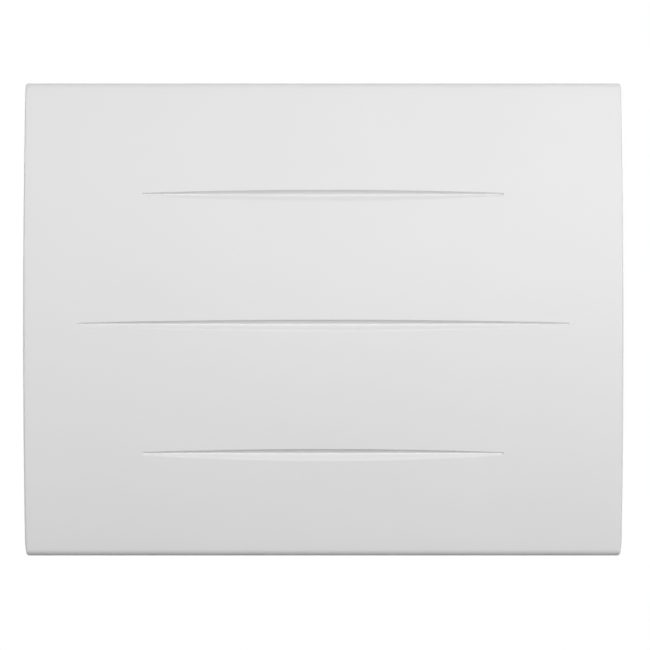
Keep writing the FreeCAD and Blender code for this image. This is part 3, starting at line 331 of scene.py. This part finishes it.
def heat_tinted(name, colour):
    """Heater sheath: dull steel with straw and blue oxide patches."""
    look = Look(name, colour, roughness=0.45, metallic=1.0)
    straw, blue = (0.34, 0.25, 0.15), (0.20, 0.21, 0.27)
    look.shade(look.noise(40.0, detail=4.0), (0.30, blue), (0.52, colour), (0.72, straw))
    look.dull(look.noise(400.0), 0.36, 0.56)
    look.bump(look.noise(1800.0, detail=3.0), 0.01 * MM)
    return look.material


def moulded(name, colour, roughness, grain):
    """Moulded plastic with the fine spark-eroded grain of its tool."""
    look = Look(name, colour, roughness)
    look.tint(colour, look.noise(30.0, detail=3.0), swing=0.03)
    look.dull(look.noise(700.0, detail=3.0), roughness - 0.05, roughness + 0.06)
    look.bump(look.noise(3200.0, detail=2.0), grain, look.eased(0.3 * MM))
    return look.material


def ceramic(name, colour):
    """Unglazed steatite: chalky, with faint specks."""
    look = Look(name, colour, roughness=0.6)
    speck = [c * 0.82 for c in colour]
    look.shade(look.noise(900.0, detail=5.0), (0.32, speck), (0.46, colour))
    look.dull(look.noise(300.0), 0.52, 0.70)
    look.bump(look.noise(1600.0, detail=4.0), 0.02 * MM)
    return look.material


def clear(name, colour):
    """Thin clear moulding."""
    look = Look(name, colour, roughness=0.04, Transmission_Weight=1.0, IOR=1.49)
    look.dull(look.noise(220.0, detail=4.0), 0.02, 0.07)
    look.bump(look.noise(120.0, detail=2.0), 0.004 * MM)
    return look.material


def tracked_film(name, colour):
    """Amber film with the flat grey-brown resistance track that runs to and fro inside it."""
    look = Look(name, colour, roughness=0.22, Coat_Weight=0.6)
    runs = look.bands("Z", 22.0, distortion=0.4)
    track = (0.20, 0.17, 0.15)
    look.shade(runs, (0.52, colour), (0.58, track))
    look.dull(runs, 0.16, 0.36)
    look.bump(runs, 0.03 * MM)
    return look.material


def circuit(name, colour):
    """Solder mask with the copper tracks standing a little proud under it."""
    look = Look(name, colour, roughness=0.32, Coat_Weight=0.3)
    place = look.stretched((1.0, 1.6, 1.0))
    brick = look.node("ShaderNodeTexBrick", Vector=place, Scale=95.0, Mortar_Size=0.06)
    track = [c * 1.7 for c in colour]
    look.shade(brick.outputs["Fac"], (0.4, colour), (0.6, track))
    look.dull(look.noise(500.0), 0.24, 0.40)
    look.bump(brick.outputs["Fac"], 0.035 * MM)
    return look.material


def display(name, colour):
    """Liquid crystal glass with its faint dot grid."""
    look = Look(name, colour, roughness=0.18, Coat_Weight=0.5)
    grid = look.cells(1600.0)
    look.shade(grid, (0.2, [c * 0.94 for c in colour]), (0.6, colour))
    look.dull(look.noise(240.0), 0.12, 0.24)
    look.bump(grid, 0.004 * MM)
    return look.material


def insulated(name, colour, stripe=None):
    """Wire insulation, a little waxy, with or without a second colour wound along it."""
    look = Look(name, colour, roughness=0.42)
    if stripe:
        look.shade(look.bands("DIAGONAL", 60.0), (0.46, colour), (0.54, stripe))
    else:
        look.tint(colour, look.noise(180.0, detail=4.0), swing=0.07)
    look.dull(look.noise(600.0), 0.34, 0.50)
    look.bump(look.noise(1100.0, detail=2.0), 0.012 * MM)
    return look.material


def rubber(name, colour):
    """Matt rubber with a dusty bloom."""
    look = Look(name, colour, roughness=0.8)
    bloom = [c * 1.9 for c in colour]
    look.shade(look.noise(420.0, detail=5.0), (0.35, colour), (0.75, bloom))
    look.dull(look.noise(200.0), 0.70, 0.90)
    look.bump(look.noise(1400.0, detail=4.0), 0.03 * MM)
    return look.material


# A look for each material slot: its colour, and where they differ its roughness, relief and edge
LOOKS = {
    "panel_white": paint("panel_white", (0.80, 0.80, 0.80), 0.38, 0.010 * MM),
    "casing_white": paint("casing_white", (0.76, 0.76, 0.755), 0.46, 0.016 * MM, 0.4 * MM),
    "galvanised": galvanised("galvanised", (0.62, 0.63, 0.64)),
    "zinc_plated": plated("zinc_plated", (0.66, 0.66, 0.65), 0.30),
    "spring_steel": plated("spring_steel", (0.30, 0.31, 0.33), 0.34),
    "aluminium_plate": drawn("aluminium_plate", (0.80, 0.80, 0.81), 0.34, 0.004 * MM),
    "aluminium_extrusion": drawn("aluminium_extrusion", (0.70, 0.70, 0.71), 0.42, 0.010 * MM),
    "aluminised_sheet": drawn("aluminised_sheet", (0.72, 0.72, 0.73), 0.40, 0.006 * MM),
    "heater_sheath": heat_tinted("heater_sheath", (0.36, 0.34, 0.32)),
    "film_amber": tracked_film("film_amber", (0.42, 0.22, 0.07)),
    "ceramic": ceramic("ceramic", (0.86, 0.84, 0.78)),
    "fascia_grey": moulded("fascia_grey", (0.55, 0.56, 0.57), 0.46, 0.020 * MM),
    "housing_plastic": moulded("housing_plastic", (0.20, 0.20, 0.21), 0.50, 0.025 * MM),
    "window_clear": clear("window_clear", (0.95, 0.97, 0.97)),
    "lcd_dark": display("lcd_dark", (0.36, 0.40, 0.35)),
    "board_green": circuit("board_green", (0.05, 0.26, 0.12)),
    "switch_black": moulded("switch_black", (0.03, 0.03, 0.03), 0.30, 0.006 * MM),
    "relay_blue": moulded("relay_blue", (0.08, 0.20, 0.42), 0.32, 0.006 * MM),
    "terminal_grey": moulded("terminal_grey", (0.62, 0.62, 0.58), 0.44, 0.015 * MM),
    "button_white": moulded("button_white", (0.80, 0.80, 0.79), 0.38, 0.010 * MM),
    "gland_black": moulded("gland_black", (0.05, 0.05, 0.05), 0.48, 0.020 * MM),
    "pad_rubber": rubber("pad_rubber", (0.05, 0.05, 0.05)),
    "clip_white": moulded("clip_white", (0.74, 0.74, 0.73), 0.44, 0.012 * MM),
    "probe_black": moulded("probe_black", (0.04, 0.04, 0.05), 0.26, 0.015 * MM),
    "lead_brown": insulated("lead_brown", (0.22, 0.10, 0.05)),
    "lead_blue": insulated("lead_blue", (0.06, 0.16, 0.45)),
    "lead_earth": insulated("lead_earth", (0.16, 0.42, 0.08), (0.72, 0.58, 0.05)),
    "lead_white": insulated("lead_white", (0.76, 0.76, 0.73)),
}


def dress_nodes():
    """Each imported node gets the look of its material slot."""
    for row in frame["record"]["subparts"]:
        mesh = frame["nodes"][row["node"]].data
        mesh.materials.clear()
        mesh.materials.append(LOOKS[row["material_slot"]])


def add_piece(name, mesh, slot, body):
    """A mesh as a piece of the object, riding on a body."""
    piece = bpy.data.objects.new(name, mesh)
    bpy.context.scene.collection.objects.link(piece)
    mesh.materials.append(LOOKS[slot])
    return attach(piece, body)


def evenly(first, last, count):
    """Evenly spread values, both ends included."""
    return [first + (last - first) * i / (count - 1) for i in range(count)]


def soft_min(a, b, rounding):
    """The lesser of two heights, with the corner between them rounded."""
    overlap = max(rounding - abs(a - b), 0.0) / rounding
    return min(a, b) - overlap * overlap * rounding / 4


def clustered(first, last, count):
    """Values between two ends, both included, closest together at the ends."""
    shares = [(1 - math.cos(turn)) / 2 for turn in evenly(0.0, math.pi, count)]
    return [first + (last - first) * share for share in shares]


def groove_share(x, half_length):
    """How much of its full height a groove has at a place along it."""
    reach = min(abs(x) / half_length, 1.0)
    return 1.0 - (1.0 - GROOVE_END_SHARE) * reach**2


def groove_rows(x, half_length):
    """Heights across a groove at a place along it, from the top down, closest at its turns."""
    share = groove_share(x, half_length)
    rise, valley, fall = (size * share for size in (GROOVE_RISE, GROOVE_VALLEY, GROOVE_FALL))
    foot = max(rise - GROOVE_SHOULDER[0], rise * GROOVE_LEAST_FOOT)
    above, below = GROOVE_MARGINS
    turns = (rise + above, rise, foot, 0.0, -valley, -fall, -fall - below * share)
    rows = [turns[0]]
    for first, last, count in zip(turns, turns[1:], GROOVE_BAND_ROWS):
        rows += clustered(first, last, count)[1:]
    return rows


def groove_depth(x, up, half_length):
    """Depth of a groove at a place along it, a height above its valley's upper line."""
    share = groove_share(x, half_length)
    shoulder_height, shoulder_depth = GROOVE_SHOULDER
    flank_slope = (GROOVE_DEPTH - shoulder_depth) / (GROOVE_RISE - shoulder_height)
    under_edge = GROOVE_RISE * share - up
    shoulder = under_edge * shoulder_depth / shoulder_height
    flank = shoulder_depth + (under_edge - shoulder_height) * flank_slope
    floor_share = (share - GROOVE_END_SHARE) / (1.0 - GROOVE_END_SHARE)
    floor = GROOVE_END_DEPTH + (GROOVE_DEPTH - GROOVE_END_DEPTH) * floor_share
    ramp = (GROOVE_FALL * share + up) * GROOVE_DEPTH / (GROOVE_FALL - GROOVE_VALLEY)
    pressed = shoulder
    for limit in (flank, floor, ramp):
        pressed = soft_min(pressed, limit, GROOVE_ROUND)
    rounding = GROOVE_ROUND if up > 0 else GROOVE_RAMP_ROUND * share
    return min(-soft_min(-pressed, 0.0, rounding), max(half_length - abs(x), 0.0))


class FrontSheet:
    """Bowed front panel: columns across X, each a run of points from its top to its bottom."""

    def __init__(self):
        low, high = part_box("front_panel")
        self.half_width, self.half_height = high.x, high.z
        self.front_y, self.rear_y = low.y, high.y
        self.radius = (self.half_height**2 + PANEL_BOW**2) / (2 * PANEL_BOW)
        self.centre_y = self.front_y + self.radius

    def edge(self, bend):
        """A return and its roll at the top, from the rear on: points and outward directions."""
        made = [((y, self.half_height), (0.0, 1.0)) for y in (self.rear_y, END_RETURN_Y)]
        roll_z, inner = self.half_height - bend, self.radius - bend
        roll_y = self.centre_y - math.sqrt(inner**2 - roll_z**2)
        for angle in evenly(0.0, math.acos(roll_z / inner), ROLL_ROWS):
            out = (-math.sin(angle), math.cos(angle))
            made.append(((roll_y + bend * out[0], roll_z + bend * out[1]), out))
        return made

    def face_end(self, bend):
        """Height at which the bow runs into a roll."""
        return self.radius * (self.half_height - bend) / (self.radius - bend)

    def face_rows(self, x):
        """Heights of the rows over the bow at one x, with how deep each is pressed."""
        rows = []
        above = self.face_end(TOP_BEND)
        for middle, half_length in GROOVES:
            ups = groove_rows(x, half_length)
            rows += [(z, 0.0) for z in evenly(above, middle + ups[0], FACE_ROWS)[1:-1]]
            rows += [(middle + up, groove_depth(x, up, half_length)) for up in ups]
            above = middle + ups[-1]
        last = -self.face_end(BOTTOM_BEND)
        return rows + [(z, 0.0) for z in evenly(above, last, FACE_ROWS)[1:-1]]

    def run(self, x):
        """Every point of one column, with its outward direction."""
        face = []
        for z, depth in self.face_rows(x):
            y = self.centre_y - math.sqrt(self.radius**2 - z**2)
            out = ((y - self.centre_y) / self.radius, z / self.radius)
            face.append(((y - out[0] * depth, z - out[1] * depth), out))
        bottom = reversed(self.edge(BOTTOM_BEND))
        bottom = [((y, -z), (out_y, -out_z)) for (y, z), (out_y, out_z) in bottom]
        return self.edge(TOP_BEND) + face + bottom

    def places(self):
        """Where each column stands: its x before the side bend, and its angle round the bend."""
        flat = self.half_width - SIDE_BEND
        bend = evenly(0.0, math.pi / 2, BEND_COLUMNS)[1:]
        middle = self.columns_between(flat)
        left = [(-flat, -angle) for angle in reversed(bend)]
        return left + [(x, 0.0) for x in middle] + [(flat, angle) for angle in bend]

    def columns_between(self, flat):
        """Columns over the flat width: evenly spread, and closer at the ends of the grooves."""
        half_lengths = {half_length for _, half_length in GROOVES}
        ends = [end + offset for end in half_lengths for offset in GROOVE_END_COLUMNS]
        kept = [side * end for side in (-1, 1) for end in ends]
        for x in evenly(-flat, flat, round(2 * flat / COLUMN_STEP) + 1):
            if min(abs(x - other) for other in kept) > LEAST_COLUMN_GAP:
                kept.append(x)
        return sorted(kept)

    def width_share(self, z):
        """How much of its width the sheet has at a height: a little less round its rolled edges."""
        side, bend = (1, TOP_BEND) if z > 0 else (-1, BOTTOM_BEND)
        past = max(abs(z) - (self.half_height - bend), 0.0)
        return 1.0 - min(past / ROLL_INSET_RUN, 1.0) * ROLL_INSETS[side] / self.half_width

    def columns(self, depth):
        """Columns of points a depth under the outer face, with both side returns' rear edges."""
        bend = SIDE_BEND - depth
        made = []
        for x, angle in self.places():
            under = SIDE_BEND - bend * math.cos(angle)
            across = x + bend * math.sin(angle)
            made.append([
                Vector((across * self.width_share(z), y - out_y * under, z - out_z * under))
                for (y, z), (out_y, out_z) in self.run(x)
            ])
        rear = [[Vector((p.x, self.rear_y, p.z)) for p in column] for column in (made[0], made[-1])]
        return [rear[0], *made, rear[1]]

    def faces(self, column_count, row_count):
        """Faces of the skin, without what is cut away behind the top and bottom returns."""
        first_flat, last_flat = BEND_COLUMNS, column_count - 1 - BEND_COLUMNS
        corner = len(self.edge(TOP_BEND)) - 1
        made = []
        for c in range(column_count - 1):
            wall = c in (0, column_count - 2)
            for r in range(row_count - 1):
                at_end = r == 0 or r == row_count - 2
                if at_end and first_flat <= c < last_flat:
                    continue
                if wall and (r < corner or r >= row_count - 1 - corner):
                    continue
                made.append([(c, r), (c, r + 1), (c + 1, r + 1), (c + 1, r)])
        last_corner = row_count - 1 - corner
        for outer, inner, turn in ((0, 1, 1), (column_count - 1, column_count - 2, -1)):
            for first, hub in ((0, (outer, corner)), (last_corner, (outer, last_corner))):
                fan = [[hub, (inner, r), (inner, r + 1)] for r in range(first, first + corner)]
                made += [face[::turn] for face in fan]
        return made

    def mesh(self):
        """The sheet with both its skins and its cut edges."""
        skins = [self.columns(depth) for depth in (0.0, PANEL_SHEET)]
        faces = self.faces(len(skins[0]), len(skins[0][0]))
        shape = bmesh.new()
        corners = {}
        used = sorted({place for face in faces for place in face})
        for skin, columns in enumerate(skins):
            for c, r in used:
                corners[skin, c, r] = shape.verts.new(columns[c][r])
        for face in faces:
            shape.faces.new([corners[0, c, r] for c, r in face])
            shape.faces.new([corners[1, c, r] for c, r in reversed(face)])
        close_rims(shape, faces, corners)
        for x in HOOK_TAB_XS:
            centre = (x, HOOK_TAB_Y, self.half_height - PANEL_SHEET / 2 - HOOK_TAB_SIZE[2] / 2)
            add_block(shape, centre, HOOK_TAB_SIZE)
        seats = panel_screw_seats(self.half_height)
        cutter = repeated("screw_seats", finished(turned(FLUSH_SEAT), "screw_seat"), seats)
        return cut(finished(shape, "front_sheet"), cutter)


def close_rims(shape, faces, corners):
    """Strips between two skins along every edge that only one face has."""
    counts = {}
    for face in faces:
        for a, b in zip(face, face[1:] + face[:1]):
            counts.setdefault(frozenset((a, b)), []).append((a, b))
    for edges in counts.values():
        if len(edges) == 1:
            a, b = edges[0]
            shape.faces.new([corners[0, *b], corners[0, *a], corners[1, *a], corners[1, *b]])


def add_block(shape, centre, size):
    """A block in a mesh under construction."""
    matrix = Matrix.Translation(centre) @ Matrix.Diagonal((*size, 1.0))
    return bmesh.ops.create_cube(shape, size=1.0, matrix=matrix)["verts"]


def smoothed(mesh):
    """A mesh that is smooth where its faces meet at a shallow angle."""
    mesh.shade_smooth()
    mesh.set_sharp_from_angle(angle=SMOOTH_BELOW)
    return mesh


def finished(shape, name):
    """A smooth mesh from its construction."""
    bmesh.ops.recalc_face_normals(shape, faces=shape.faces)
    mesh = bpy.data.meshes.new(name)
    shape.to_mesh(mesh)
    shape.free()
    return smoothed(mesh)


def cut(mesh, cutter):
    """A mesh with another one taken out of it."""
    whole, taken = (bpy.data.objects.new(m.name, m) for m in (mesh, cutter))
    for piece in (whole, taken):
        bpy.context.scene.collection.objects.link(piece)
    modifier = whole.modifiers.new("cut", "BOOLEAN")
    modifier.operation = "DIFFERENCE"
    modifier.solver = "EXACT"
    modifier.object = taken
    evaluated = whole.evaluated_get(bpy.context.evaluated_depsgraph_get())
    made = bpy.data.meshes.new_from_object(evaluated)
    for piece in (whole, taken):
        bpy.data.objects.remove(piece)
    shape = bmesh.new()
    shape.from_mesh(made)
    bmesh.ops.remove_doubles(shape, verts=shape.verts, dist=SAME_POINT)
    bmesh.ops.dissolve_degenerate(shape, edges=shape.edges, dist=SAME_POINT)
    return finished(shape, mesh.name)


def repeated(name, mesh, matrices):
    """One mesh with a copy of another at each of several places."""
    shape = bmesh.new()
    for matrix in matrices:
        start = len(shape.verts)
        shape.from_mesh(mesh)
        shape.verts.ensure_lookup_table()
        bmesh.ops.transform(shape, matrix=matrix, verts=shape.verts[start:])
    return finished(shape, name)


def turned(profile):
    """A shape turned about Z from points of radius and height in millimetres."""
    shape = bmesh.new()
    points = [shape.verts.new((radius * MM, 0.0, height * MM)) for radius, height in profile]
    edges = [shape.edges.new(pair) for pair in zip(points, points[1:])]
    bmesh.ops.spin(
        shape,
        geom=points + edges,
        axis=(0, 0, 1),
        cent=(0, 0, 0),
        steps=SCREW_SIDES,
        angle=math.tau,
    )
    bmesh.ops.remove_doubles(shape, verts=shape.verts, dist=SAME_POINT)
    return shape


def cross(reach, half_width):
    """Outline of a cross with four equal arms."""
    arm = ((reach, -half_width), (reach, half_width), (half_width, half_width))
    spins = [Matrix.Rotation(turn * math.pi / 2, 2) for turn in range(4)]
    return [spin @ Vector(corner) for spin in spins for corner in arm]


def add_prism(shape, outline, low, high, taper=1.0):
    """An upright prism over an outline, narrower at its foot where it tapers."""
    foot = [shape.verts.new((x * taper, y * taper, low)) for x, y in outline]
    head = [shape.verts.new((x, y, high)) for x, y in outline]
    for i in range(len(outline)):
        shape.faces.new((foot[i - 1], foot[i], head[i], head[i - 1]))
    shape.faces.new(head)
    shape.faces.new(foot[::-1])


def add_ring(shape, centre, radii, low, high):
    """An upright ring."""
    outer, inner = radii
    turns = [math.tau * i / RING_SIDES for i in range(RING_SIDES)]
    loops = []
    for radius, height in ((outer, low), (outer, high), (inner, high), (inner, low)):
        points = [(radius * math.cos(turn), radius * math.sin(turn)) for turn in turns]
        loops.append([shape.verts.new((centre[0] + x, centre[1] + y, height)) for x, y in points])
    for near, far in zip(loops, loops[1:] + loops[:1]):
        for i in range(RING_SIDES):
            shape.faces.new((near[i - 1], near[i], far[i], far[i - 1]))


def rectangle(centre, size):
    """Outline of a rectangle."""
    (x, y), (wide, long) = centre, size
    return [(x + i * wide / 2, y + j * long / 2) for i, j in ((-1, -1), (1, -1), (1, 1), (-1, 1))]


def facing(direction):
    """Turn that brings +Z onto a direction."""
    return Vector((0.0, 0.0, 1.0)).rotation_difference(Vector(direction)).to_matrix().to_4x4()


def seated(places, direction):
    """Matrices that stand a shape at each of several places, its +Z along a direction."""
    return [Matrix.Translation(place) @ facing(direction) for place in places]


def panel_screw_seats(half_height):
    """Where the panel's screws sit in its lower return, facing down."""
    return seated([(x, PANEL_SCREW_Y, -half_height) for x in PANEL_SCREW_XS], (0, 0, -1))


def top_middle(low, high):
    """Middle of the top of a box."""
    return Vector(((low.x + high.x) / 2, (low.y + high.y) / 2, high.z))


def screw(head, recess, shank_radius, length):
    """A cross-recess screw along Z, its head's seat at the origin."""
    tip = ((0.0, -length), (shank_radius - SHANK_TIP, -length), (shank_radius, SHANK_TIP - length))
    body = finished(turned((*tip, (shank_radius, head[0][1]), *head)), "screw")
    reach, half_width, depth = (size * MM for size in recess)
    top = head[-1][1] * MM
    plug = bmesh.new()
    add_prism(plug, cross(reach, half_width), top - depth, top + RECESS_CLEAR * MM, RECESS_TAPER)
    return cut(body, finished(plug, "recess"))


def floor_material():
    """Pale with the object's shadow to the camera, dull to other light, and clear from below."""
    material = bpy.data.materials.new("floor")
    material.use_nodes = True
    tree = material.node_tree
    tree.nodes.clear()
    geometry = tree.nodes.new("ShaderNodeNewGeometry")
    away = tree.nodes.new("ShaderNodeVectorMath")
    away.operation = "LENGTH"
    tree.links.new(geometry.outputs["Position"], away.inputs[0])
    fade = tree.nodes.new("ShaderNodeMapRange")
    tree.links.new(away.outputs["Value"], fade.inputs["Value"])
    limits = ("From Min", "From Max", "To Min", "To Max")
    for socket, value in zip(limits, (*FLOOR_FADE, *FLOOR_GLOWS)):
        fade.inputs[socket].default_value = value
    glow = tree.nodes.new("ShaderNodeEmission")
    glow.inputs["Color"].default_value = WHITE
    tree.links.new(fade.outputs["Result"], glow.inputs["Strength"])
    shown, dull = (tree.nodes.new("ShaderNodeBsdfDiffuse") for _ in range(2))
    shown.inputs["Color"].default_value = FLOOR_SHOWN
    dull.inputs["Color"].default_value = FLOOR_DULL
    lit = tree.nodes.new("ShaderNodeAddShader")
    tree.links.new(shown.outputs[0], lit.inputs[0])
    tree.links.new(glow.outputs[0], lit.inputs[1])
    surface = dull
    for share, other in ((seen_directly(tree), lit), (geometry.outputs["Backfacing"], None)):
        mix = tree.nodes.new("ShaderNodeMixShader")
        other = other or tree.nodes.new("ShaderNodeBsdfTransparent")
        for socket, value in zip(mix.inputs, (share, surface.outputs[0], other.outputs[0])):
            tree.links.new(value, socket)
        surface = mix
    output = tree.nodes.new("ShaderNodeOutputMaterial")
    tree.links.new(surface.outputs[0], output.inputs["Surface"])
    return material


def add_floor():
    """Plain pale floor under the object."""
    mesh = bpy.data.meshes.new("floor")
    (left, right), (front, back) = FLOOR_XS, FLOOR_YS
    corners = ((left, front), (right, front), (right, back), (left, back))
    mesh.from_pydata([(x, y, FLOOR_Z) for x, y in corners], [], [(0, 1, 2, 3)])
    mesh.materials.append(floor_material())
    floor = bpy.data.objects.new("floor", mesh)
    bpy.context.scene.collection.objects.link(floor)


def seen_directly(tree):
    """1 for what the camera sees, straight or by gloss and glass, and 0 for other light."""
    path = tree.nodes.new("ShaderNodeLightPath")
    seen = path.outputs["Is Camera Ray"]
    for ray in ("Is Glossy Ray", "Is Transmission Ray"):
        most = tree.nodes.new("ShaderNodeMath")
        most.operation = "MAXIMUM"
        tree.links.new(seen, most.inputs[0])
        tree.links.new(path.outputs[ray], most.inputs[1])
        seen = most.outputs[0]
    return seen


def add_world():
    """White surroundings to look at, and a soft even light from all round."""
    world = bpy.data.worlds.new("studio")
    world.use_nodes = True
    bpy.context.scene.world = world
    tree = world.node_tree
    background = tree.nodes["Background"]
    background.inputs["Color"].default_value = WHITE
    strength = tree.nodes.new("ShaderNodeMapRange")
    strength.inputs["To Min"].default_value = AMBIENT
    strength.inputs["To Max"].default_value = 1.0
    tree.links.new(seen_directly(tree), strength.inputs["Value"])
    tree.links.new(strength.outputs["Result"], background.inputs["Strength"])


def add_lights():
    """Soft boxes, each aimed at its own point."""
    for name, (place, size, power, aim) in SOFT_BOXES.items():
        data = bpy.data.lights.new(name, "AREA")
        data.shape = "RECTANGLE"
        data.size, data.size_y = size
        data.energy = power
        light = bpy.data.objects.new(name, data)
        light.location = place
        light.rotation_euler = (Vector(aim) - Vector(place)).to_track_quat("-Z", "Y").to_euler()
        light.visible_glossy = name not in MATT_BOXES
        bpy.context.scene.collection.objects.link(light)


def add_camera():
    """Level camera square to the wall."""
    data = bpy.data.cameras.new("camera")
    data.lens = CAMERA_LENS
    data.sensor_width = CAMERA_SENSOR
    camera = bpy.data.objects.new("camera", data)
    camera.location = CAMERA_PLACE
    camera.rotation_euler = (math.pi / 2, 0.0, 0.0)
    bpy.context.scene.collection.objects.link(camera)
    bpy.context.scene.camera = camera


def add_front_sheet():
    """The front panel, finer than its solid."""
    piece = add_piece("front_sheet", FrontSheet().mesh(), "panel_white", "appliance")
    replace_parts(piece, "front_panel")


def add_screws():
    """Cross-recess screws in place of the plain ones."""
    half_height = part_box("front_panel")[1].z
    grille = []
    for side, xs in GRILLE_SCREW_XS.items():
        grille += seated([(x, GRILLE_SCREW_Y, side * half_height) for x in xs], (0, 0, side))
    housing = seated([(x, HOUSING_SCREW_Y, HOUSING_SCREW_Z) for x in HOUSING_SCREW_XS], (0, 1, 0))
    panel = panel_screw_seats(half_height)
    flush = screw(FLUSH_HEAD, FLUSH_RECESS, FLUSH_SHANK_RADIUS, PANEL_SCREW_LENGTH)
    short, long = (
        screw(ROUND_HEAD, ROUND_RECESS, ROUND_SHANK_RADIUS, length)
        for length in (GRILLE_SCREW_LENGTH, HOUSING_SCREW_LENGTH)
    )
    for node, mesh, seats in (
        ("grille_screws", short, grille),
        ("housing_screws", long, housing),
        ("panel_screws", flush, panel),
    ):
        name = node.replace("screws", "cross_screws")
        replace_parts(add_piece(name, repeated(name, mesh, seats), "zinc_plated", "appliance"), node)


def segment_outline(name):
    """Outline of one of a digit's seven segments about the digit's middle."""
    wide, tall = (size - DIGIT_STROKE for size in DIGIT_SIZE)
    half = DIGIT_STROKE / 2
    across = name in "adg"
    tip = (wide if across else tall / 2) / 2 - DIGIT_GAP
    end = tip - half
    bar = [(-tip, 0.0), (-end, -half), (end, -half), (tip, 0.0), (end, half), (-end, half)]
    if across:
        return [(x, y + tall / 2 * {"a": 1, "g": 0, "d": -1}[name]) for x, y in bar]
    side = 1 if name in "bc" else -1
    level = tall / 4 * (1 if name in "bf" else -1)
    return [(side * wide / 2 - y, level + x) for x, y in bar]


def add_display():
    """A temperature on the display."""
    shape = bmesh.new()
    for segments, x in DIGITS:
        for name in segments:
            outline = [(x + across, up) for across, up in segment_outline(name)]
            add_prism(shape, outline, *PRINT_ZS)
    point = (DIGIT_POINT_X, (DIGIT_STROKE - DIGIT_SIZE[1]) / 2)
    add_prism(shape, rectangle(point, (DIGIT_STROKE, DIGIT_STROKE)), *PRINT_ZS)
    add_ring(shape, DEGREE_PLACE, DEGREE_RADII, *PRINT_ZS)
    bmesh.ops.translate(shape, verts=shape.verts, vec=top_middle(*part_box("lcd_module")))
    add_piece("display_digits", finished(shape, "display_digits"), "switch_black", "appliance")


def sign_mode(shape):
    """Three bars."""
    for step in (-1, 0, 1):
        middle = (0.0, step * SIGN_BAR_PITCH)
        add_prism(shape, rectangle(middle, (2 * SIGN_REACH, SIGN_STROKE)), *PRINT_ZS)


def sign_minus(shape):
    """One bar."""
    add_prism(shape, rectangle((0.0, 0.0), (2 * SIGN_REACH, SIGN_STROKE)), *PRINT_ZS)


def sign_plus(shape):
    """A cross."""
    add_prism(shape, cross(SIGN_REACH, SIGN_STROKE / 2), *PRINT_ZS)


def sign_program(shape):
    """A clock."""
    add_ring(shape, (0.0, 0.0), (SIGN_REACH, SIGN_REACH - SIGN_STROKE), *PRINT_ZS)
    half = SIGN_STROKE / 4
    right, up = (reach + half for reach in CLOCK_HANDS)
    hands = [(-half, -half), (right, -half), (right, half), (half, half), (half, up), (-half, up)]
    add_prism(shape, hands, *PRINT_ZS)


def sign_confirm(shape):
    """A tick."""
    add_prism(shape, [(x * MM, y * MM) for x, y in TICK_MM][::-1], *PRINT_ZS)


def add_button_signs():
    """A printed sign on each button."""
    signs = {
        "mode": sign_mode,
        "minus": sign_minus,
        "plus": sign_plus,
        "program": sign_program,
        "confirm": sign_confirm,
    }
    for name, draw in signs.items():
        shape = bmesh.new()
        draw(shape)
        crown = top_middle(*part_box(f"button_{name}"))
        bmesh.ops.translate(shape, verts=shape.verts, vec=crown)
        piece = f"sign_{name}"
        add_piece(piece, finished(shape, piece), "switch_black", f"button_{name}")


def add_rocker_signs():
    """A bar on the rocker's upper half and a ring on its lower half."""
    (valley_x, valley_z), (crest_x, crest_z) = ROCKER_VALLEY, ROCKER_CREST
    rest = Matrix.Translation(ROCKER_PIVOT) @ Matrix.Rotation(ROCKER_TILT, 4, "Y")
    for name, side in (("on", 1), ("off", -1)):
        shape = bmesh.new()
        if side > 0:
            add_prism(shape, rectangle((0.0, 0.0), ROCKER_BAR), *PRINT_ZS)
        else:
            add_ring(shape, (0.0, 0.0), ROCKER_RING, *PRINT_ZS)
        across = Vector((0.0, 1.0, 0.0))
        up = Vector((side * (crest_x - valley_x), 0.0, crest_z - valley_z)).normalized()
        turn = Matrix((across, up, across.cross(up))).transposed().to_4x4()
        place = Matrix.Translation(((valley_x + crest_x) / 2, 0.0, side * (valley_z + crest_z) / 2))
        bmesh.ops.transform(shape, matrix=rest @ place @ turn, verts=shape.verts)
        piece = f"rocker_sign_{name}"
        add_piece(piece, finished(shape, piece), "button_white", "power_switch_rocker")


def strip_outline(line, bend, sheet):
    """Outline of a strip of sheet on the left of a line that turns left, with its bends rounded."""
    line = [Vector(point) for point in line]
    runs = [(after - before).normalized() for before, after in zip(line, line[1:])]
    lefts = [Vector((-run.y, run.x)) for run in runs]
    near, far = [line[0]], [line[0] + sheet * lefts[0]]
    for corner, before, after in zip(line[1:-1], lefts, lefts[1:]):
        centre = corner + bend * (before + after) / (1.0 + before.dot(after))
        for share in evenly(0.0, 1.0, CATCH_BEND_STEPS):
            left = before.slerp(after, share)
            near.append(centre - bend * left)
            far.append(centre - (bend - sheet) * left)
    return near + [line[-1], line[-1] + sheet * lefts[-1]] + far[::-1]


def add_catches():
    """Spring catches drawn bent back to the rail, clear of the casing, in the shape they take when
    the radiator is lifted.
    """
    across, out, up = Vector((1, 0, 0)), Vector((0, 1, 0)), Vector((0, 0, 1))
    upright = Matrix((out, up, across)).transposed().to_4x4()
    for side in ("left", "right"):
        node = f"spring_catch_{side}"
        low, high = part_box(node)
        line = (
            (high.y, low.z),
            (high.y, CATCH_LEAN_FROM_Z),
            (CATCH_LEAN_TO_Y, high.z),
            (low.y, high.z),
        )
        shape = bmesh.new()
        add_prism(shape, strip_outline(line, CATCH_BEND, CATCH_SHEET), low.x, high.x)
        bmesh.ops.transform(shape, matrix=upright, verts=shape.verts)
        name = f"bending_catch_{side}"
        piece = add_piece(name, finished(shape, name), "spring_steel", "wall_bracket")
        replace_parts(piece, node)
        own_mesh(piece)


dress_nodes()
add_front_sheet()
add_catches()
add_screws()
add_display()
add_button_signs()
add_rocker_signs()
add_floor()
add_world()
add_lights()
add_camera()
bpy.context.scene.view_settings.view_transform = "Standard"
